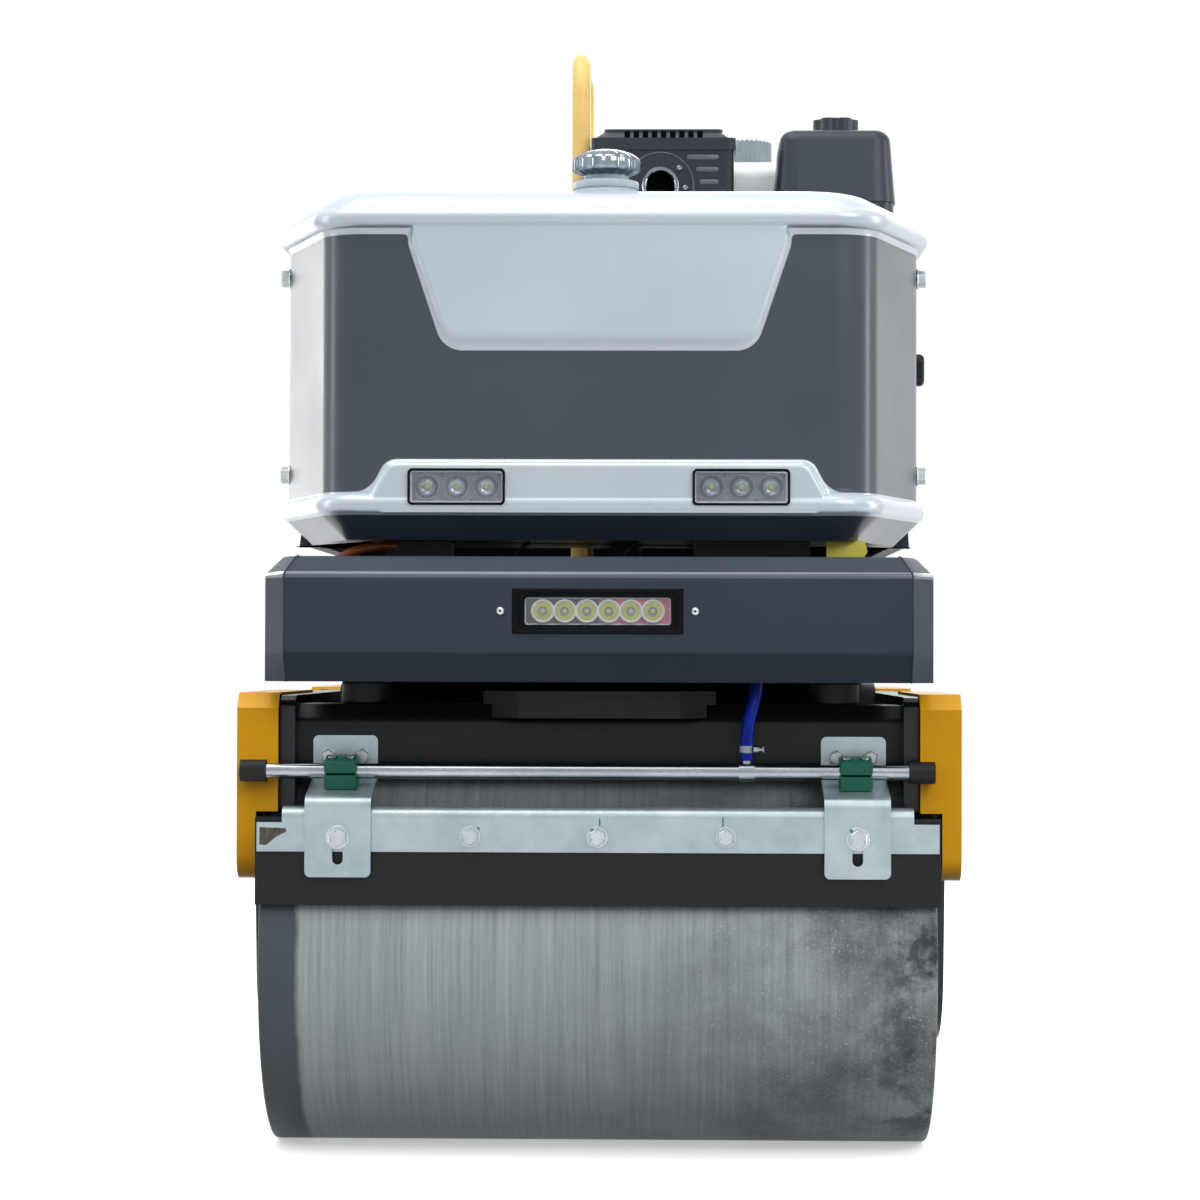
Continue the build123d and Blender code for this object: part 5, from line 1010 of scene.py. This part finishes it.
class ROLLER_OT_bumpers(bpy.types.Operator):
    """Fold the front and rear bumpers with their slanted top edge, mitred wings and welded seams"""
    bl_idname = "roller.bumpers"
    bl_label = "Bumpers"

    def execute(self, context):
        section = np.concatenate((SECTION_OUT, SECTION_IN))
        count = len(section)
        # below the bend the face slants in depth only, so that the wings stay upright
        low = section[:, 1] < LOWER_BEND
        sheet = np.where(low, np.where(np.arange(count) < len(SECTION_OUT), 0.0, SHEET), section[:, 0])
        plan = mitred(BUMPER_PLAN, sheet)
        plan[..., 1] += np.where(low, section[:, 0] - sheet, 0.0)[None] * (BUMPER_PLAN[:, 1] < 0)[:, None]
        flat = np.zeros((len(BUMPER_PLAN), 2))
        for end in ENDS:
            rear = end == "rear"
            skin = Shape()
            height = np.broadcast_to(section[:, 1][None], plan.shape[:2])
            points = np.stack((plan[..., 0], at_end(end, plan[..., 1]), height), axis=-1)
            keep = np.ones((len(BUMPER_PLAN) - 1, count), dtype=bool)
            if not rear:
                keep[LIGHT_SIDE, [LOW_OUT, HIGH_IN]] = False
            first = skin.grid(to_world(points), loop_v=True, flip=not rear, keep=keep)
            row = np.nonzero(keep.reshape(-1))[0] % count
            # faces in the rows of the top edge's bend take the lighter, glossier grey: a painted highlight band
            skin.slots[:] = np.isin(row, BEND_ROWS).astype(int).tolist()
            if not rear:
                left = first + LIGHT_SIDE * count
                right = left + count
                skin.cap((left + LOW_OUT, right + LOW_OUT, right + LOW_IN, left + LOW_IN))
                skin.cap((left + HIGH_OUT, left + HIGH_IN, right + HIGH_IN, right + HIGH_OUT))
                skin.cap((left + LOW_OUT, left + LOW_IN, left + HIGH_IN, left + HIGH_OUT))
                skin.cap((right + LOW_OUT, right + HIGH_OUT, right + HIGH_IN, right + LOW_IN))
            ring = first + np.arange(count)
            last = ring + (len(BUMPER_PLAN) - 1) * count
            skin.cap(ring[::-1] if rear else ring)
            skin.cap(last if rear else last[::-1])
            # top plate and back plate
            top = mitred(BUMPER_PLAN, (22.8,))[:, 0]
            if rear:
                top = np.stack((top[::-1, 0], FAR - top[::-1, 1]), axis=1)
            skin.rise((top, flat), ((0, 622.3), (0, 626.8)), standing(0, 0, 0))
            skin.rise(box_outline(540, 5, 0.5, 6), ((0, 497), (0, 622)), standing(0, at_end(end, 57.5), 0))
            for corner_index in WELDED:
                skin.tube(points[corner_index, :len(SECTION_OUT)], 1.0, sides=8)
            skin.build("bumper_%s_sheet" % end, ("grey_powder_coat", "grey_bend_painted_highlight"), sharp=28,
                       replaces=("bumper_" + end,))
        return {"FINISHED"}


class ROLLER_OT_sprinkler(bpy.types.Operator):
    """Fit the sprinkler bars with their split clamps, the worm clips on the hoses and the paint marks"""
    bl_idname = "roller.sprinkler"
    bl_label = "Sprinkler fittings"

    def execute(self, context):
        tilt = math.atan2(19.0, 81.0)
        axis = 0.5 * (corner("spray_tube_front", 0) + corner("spray_tube_front", 1))
        tube_d, tube_z = (float(axis[1]) - FRONT) / MM, float(axis[2]) / MM
        for end in ENDS:
            out = 1.0 if end == "front" else -1.0
            clamps = Shape()
            for x in (-267, 267):
                place = frame_at((x * MM, back(at_end(end, tube_d)), tube_z * MM), (out, 0, 0),
                                 (0, -out * math.sin(tilt), math.cos(tilt)))
                for z0, z1 in ((0.7, 14.0), (-16.6, -0.7)):
                    half = rounded_outline(((-17, z0), (17, z0), (17, z1), (-17, z1)), 2.4)
                    clamps.rise(half, ((2, -15), (0.6, -14.4), (0, -13), (0, 13), (0.3, 14.2), (1, 15),
                                       (2.2, 15.02)), place)
                # a near-black strip in the gap between the halves and near-black discs round the screws: painted
                # shade
                clamps.rise(box_outline(30, 4, 1), ((0, -13), (0, 13)), place, 2)
                top = frame_at(place[:3, 3] + place[:3, 1] * 14 * MM, place[:3, 0], -place[:3, 2])
                for dx in (-9.5, 9.5):
                    clamps.rise(circle(5.6, 28), ((0, -1), (0, 0.15), (0.2, 0.25)), moved(top, dx, 0), 2)
                    clamps.rise(hexagon(7.5), ((0, 0), (0, 1.6), (0.8, 2.2)), moved(top, dx, 0), 1)
            clamps.build("tube_clamps_%s_halves" % end, ("green_polypropylene", "zinc_bolt", "painted_shade_black"),
                         replaces=("tube_clamps_" + end,))
            # worm clip on the hose: its band, and its worm as three short rods in a row
            clip = Shape()
            d = at_end(end, tube_d + 0.6)
            clip.rise(lobed(8.0, 30, 0.25, 180), ((0.4, 0), (0, 0.5), (0, 7.2), (0.4, 7.7)), standing(154, d, 424))
            for x0, x1, radius, sides in ((161, 166.5, 3.4, 16), (166.5, 170.5, 2.3, 12), (170.5, 171.8, 3.2, 6)):
                clip.tube([(x, d - out * 5, 427.8) for x in (x0, x1)], radius, sides=sides)
            clip.build("hose_clip_" + end, ("chrome_painted_reflections",))
        # paint marks left when the bolts were tightened, and dirt rubbed into the strip's left end
        marks = Shape()
        face = depth_of("scraper_angle_front")
        for x, z, half_w, half_h, low in ((2.4, 353, 0.9, 4.6, 0), (-5.5, 345.2, 1.8, 1.8, 2.0),
                                          (129, 353.5, 0.9, 6.5, 0), (-122.6, 346, 1.7, 2.0, 0.1),
                                          (260.5, 345.6, 1.8, 1.8, 7.2)):
            blob, normal = circle(1, 16)
            marks.rise((blob * (half_w, half_h), normal), ((0, low), (0, low + 0.25), (0.4, low + 0.4)),
                       facing_front(x, face, z))
        scuff = rounded_outline(((-348, 329), (-341, 328.5), (-331, 337), (-320, 342.5), (-321, 346),
                                 (-348, 347)), 0.8)
        marks.rise(scuff, ((0, 0), (0, 0.15), (0.5, 0.25)), facing_front(0, face, 0), 1)
        marks.build("paint_marks", ("paint_mark", "rubbed_dirt"), sharp=60)
        return {"FINISHED"}


class ROLLER_OT_engine_details(bpy.types.Operator):
    """Dress the muffler with its slot plates, its vents and outlet darkened by painted shade, its outlet ring and a
    painted highlight round the outlet plate, and the tank with its fuel cap
    """
    bl_idname = "roller.engine_details"
    bl_label = "Engine details"

    def execute(self, context):
        # the pressed face lies 6 mm behind the muffler's foremost edge
        face = depth_of("muffler") + 6.0
        outlet = facing_front(62, face, 1071)
        trim = Shape()
        for x, z, length in ((111, 1104.9, 39.0), (116.5, 1090.7, 28.0), (118.5, 1076.2, 23.5)):
            trim.rise(box_outline(length - 0.8, 6.4, 3.1), ((0, -2.9), (0, -0.9), (0.8, -0.5)),
                      facing_front(x, face, z))
        ring_plate(trim, circle(21.4, 64), circle(16.7, 64), 5, 6.9, outlet, 1, 0.8)
        # a thin grey ring on the outlet plate's rounded edge: a painted highlight
        ring_plate(trim, circle(39.3, 96), circle(37.7, 96), 1.5, 3.7, outlet, 0, 0.5)
        # a near-black plug inside the outlet: painted shade
        trim.rise(circle(16.9, 48), ((0, -39.5), (0, -12)), outlet, 2)
        for x, z in ((84, 1091), (91, 1068)):
            trim.rise(hexagon(6), ((0, 2.8), (0, 5), (0.8, 5.6)), facing_front(x, face, z), 1)
        centre = 0.5 * float(corner("muffler", 0)[0] + corner("muffler", 1)[0]) / MM
        # near-black blocks behind the vents: painted shade
        vents, pitch = 9, 10.6
        for i in range(vents):
            trim.rise(box_outline(6.4, 10.6, 1.0), ((0, -16), (0, -7.5)),
                      facing_front(centre + (i - vents // 2) * pitch, face, 1131), 2)
        cap = Shape()
        cap.rise(lobed(30.8, 32, 0.7, 384), ((1.5, 0.2), (0, 1.6), (0, 31.5), (0.9, 33.2), (3.0, 34.2), (24, 34.4)),
                 standing(float(corner("fuel_tank", 0)[0]) / MM + 182, 633, 1121))
        cap.build("fuel_cap_shell", ("silver_moulding",))
        trim.build("muffler_trim", ("slot_steel_and_edge_highlight", "chrome_painted_reflections", "painted_shade_black"))
        return {"FINISHED"}


def bow(first, pull, last):
    """Points along the curve that leaves `first` towards `pull` and comes from there to `last`."""
    t = np.linspace(0, 1, 40)[:, None]
    return np.array(first) * (1 - t) ** 2 + 2 * t * (1 - t) * np.array(pull) + t ** 2 * np.array(last)


class ROLLER_OT_small_parts(bpy.types.Operator):
    """Bolt the hoods down at their sides, stand the blank label behind the bumper and run the fuel hose"""
    bl_idname = "roller.small_parts"
    bl_label = "Small parts"

    def execute(self, context):
        size = context.scene.roller_hardware.bolt / MM
        side_x = TANK_PLAN[-1][0]
        for end in ENDS:
            bolts = Shape()
            for side in (-1, 1):
                for z in (722, 938):
                    bolt(bolts, facing_side(side * side_x, at_end(end, 214), z, side), -0.2, size)
            bolts.build("hood_bolts_" + end, ("zinc_bolt",))
        label = Shape()
        label.rise(rounded_outline(((238, 612), (268, 612), (281, 634), (278, 646), (238, 647.5)), 1.5),
                   ((0, -1), (0, 1), (0.5, 1.3)), facing_front(0, 66, 0))
        label.build("blank_label", ("sticker_yellow",), sharp=40)
        hose = Shape()
        hose.tube(bow((-290, 96, 616), (-262, 70, 642), (-214, 96, 640)), 5.0, sides=14)
        for x in (-96, 18):
            hose.tube(bow((x, 82, 614), (x + 4, 78, 634), (x + 22, 84, 644)), 2.0, slot=1, sides=10)
        hose.build("fuel_hose_and_cables", ("orange_hose", "black_rubber"), sharp=60)
        return {"FINISHED"}


class ROLLER_OT_console(bpy.types.Operator):
    """Dress the controls on the handle's console"""
    bl_idname = "roller.console"
    bl_label = "Console"

    def execute(self, context):
        # the handle's own axes: its hinge, its slope, and the height of the console's face over it
        slope, face = math.radians(18.0), 77.3
        handle = frame_at((0, back(1194), 0.640), (1, 0, 0), (0, math.cos(slope), math.sin(slope)))
        zinc, white, red, green, dark = range(5)
        dress = Shape()
        gauge, dial = moved(handle, -120, 870, face), moved(handle, -62, 872, face)
        ring_plate(dress, circle(28, 64), circle(23.5, 64), 0, 9, gauge, zinc, 1.0)
        dress.rise(circle(24, 56), ((0, 6.8), (0, 7.4)), gauge, white)
        needle = rounded_outline(((-0.7, -4), (0.7, -4), (0.3, 17), (-0.3, 17)), 0.2)
        dress.rise(needle, ((0, 7.2), (0, 7.9)), gauge, red)
        ring_plate(dress, circle(14), circle(8), 11, 13.5, dial, zinc, 0.8)
        dress.rise(box_outline(4, 20, 1.2), ((0, 12), (0, 24), (1, 25)), dial, zinc)
        for x, along, radius, low, slot in ((-24, 872, 9.6, 15, red), (-118, 790, 19, 10, red),
                                            (-60, 790, 10.6, 12, green), (-24, 790, 10.6, 12, dark),
                                            (128, 872, 16.6, 9, dark)):
            knob = moved(handle, x, along, face)
            dome(dress, knob, low - 0.3, radius, 5.0, slot, 40)
            dress.rise(circle(radius, 48), ((0, 0.2), (0, low - 0.2)), knob, slot)
        for x in (-152, 152):
            for along in (722, 918):
                bolt(dress, moved(handle, x, along, face), -0.2, 10)
        dress.build("console_controls", ("zinc_bolt", "gauge_face", "red_plastic", "green_polypropylene",
                                         "dark_plastic"), "handle")
        return {"FINISHED"}


OPERATORS = (ROLLER_OT_stage, ROLLER_OT_paint_nodes, ROLLER_OT_hood, ROLLER_OT_rear_hood, ROLLER_OT_lamps,
             ROLLER_OT_scraper_bolts, ROLLER_OT_bumpers, ROLLER_OT_sprinkler, ROLLER_OT_engine_details,
             ROLLER_OT_small_parts, ROLLER_OT_console)
SETTINGS = (("roller_stage", RollerStageSettings), ("roller_hood", RollerHoodSettings),
            ("roller_hardware", RollerHardwareSettings))


class ROLLER_PT_panel(bpy.types.Panel):
    """Buttons for every group of pieces"""
    bl_idname = "ROLLER_PT_panel"
    bl_label = "Road roller"
    bl_space_type = "VIEW_3D"
    bl_region_type = "UI"
    bl_category = "Roller"

    def draw(self, context):
        layout = self.layout
        for name, group in SETTINGS:
            holder = getattr(context.scene, name)
            for key in group.__annotations__:
                layout.prop(holder, key)
        for operator in OPERATORS:
            layout.operator(operator.bl_idname)


def register():
    for name, group in SETTINGS:
        bpy.utils.register_class(group)
        setattr(bpy.types.Scene, name, bpy.props.PointerProperty(type=group))
    for operator in OPERATORS:
        bpy.utils.register_class(operator)
    bpy.utils.register_class(ROLLER_PT_panel)


def unregister():
    bpy.utils.unregister_class(ROLLER_PT_panel)
    for operator in reversed(OPERATORS):
        bpy.utils.unregister_class(operator)
    for name, group in reversed(SETTINGS):
        delattr(bpy.types.Scene, name)
        bpy.utils.unregister_class(group)


def main():
    register()
    for operator in OPERATORS:
        section, call = operator.bl_idname.split(".")
        getattr(getattr(bpy.ops, section), call)()


if __name__ == "__main__":
    main()
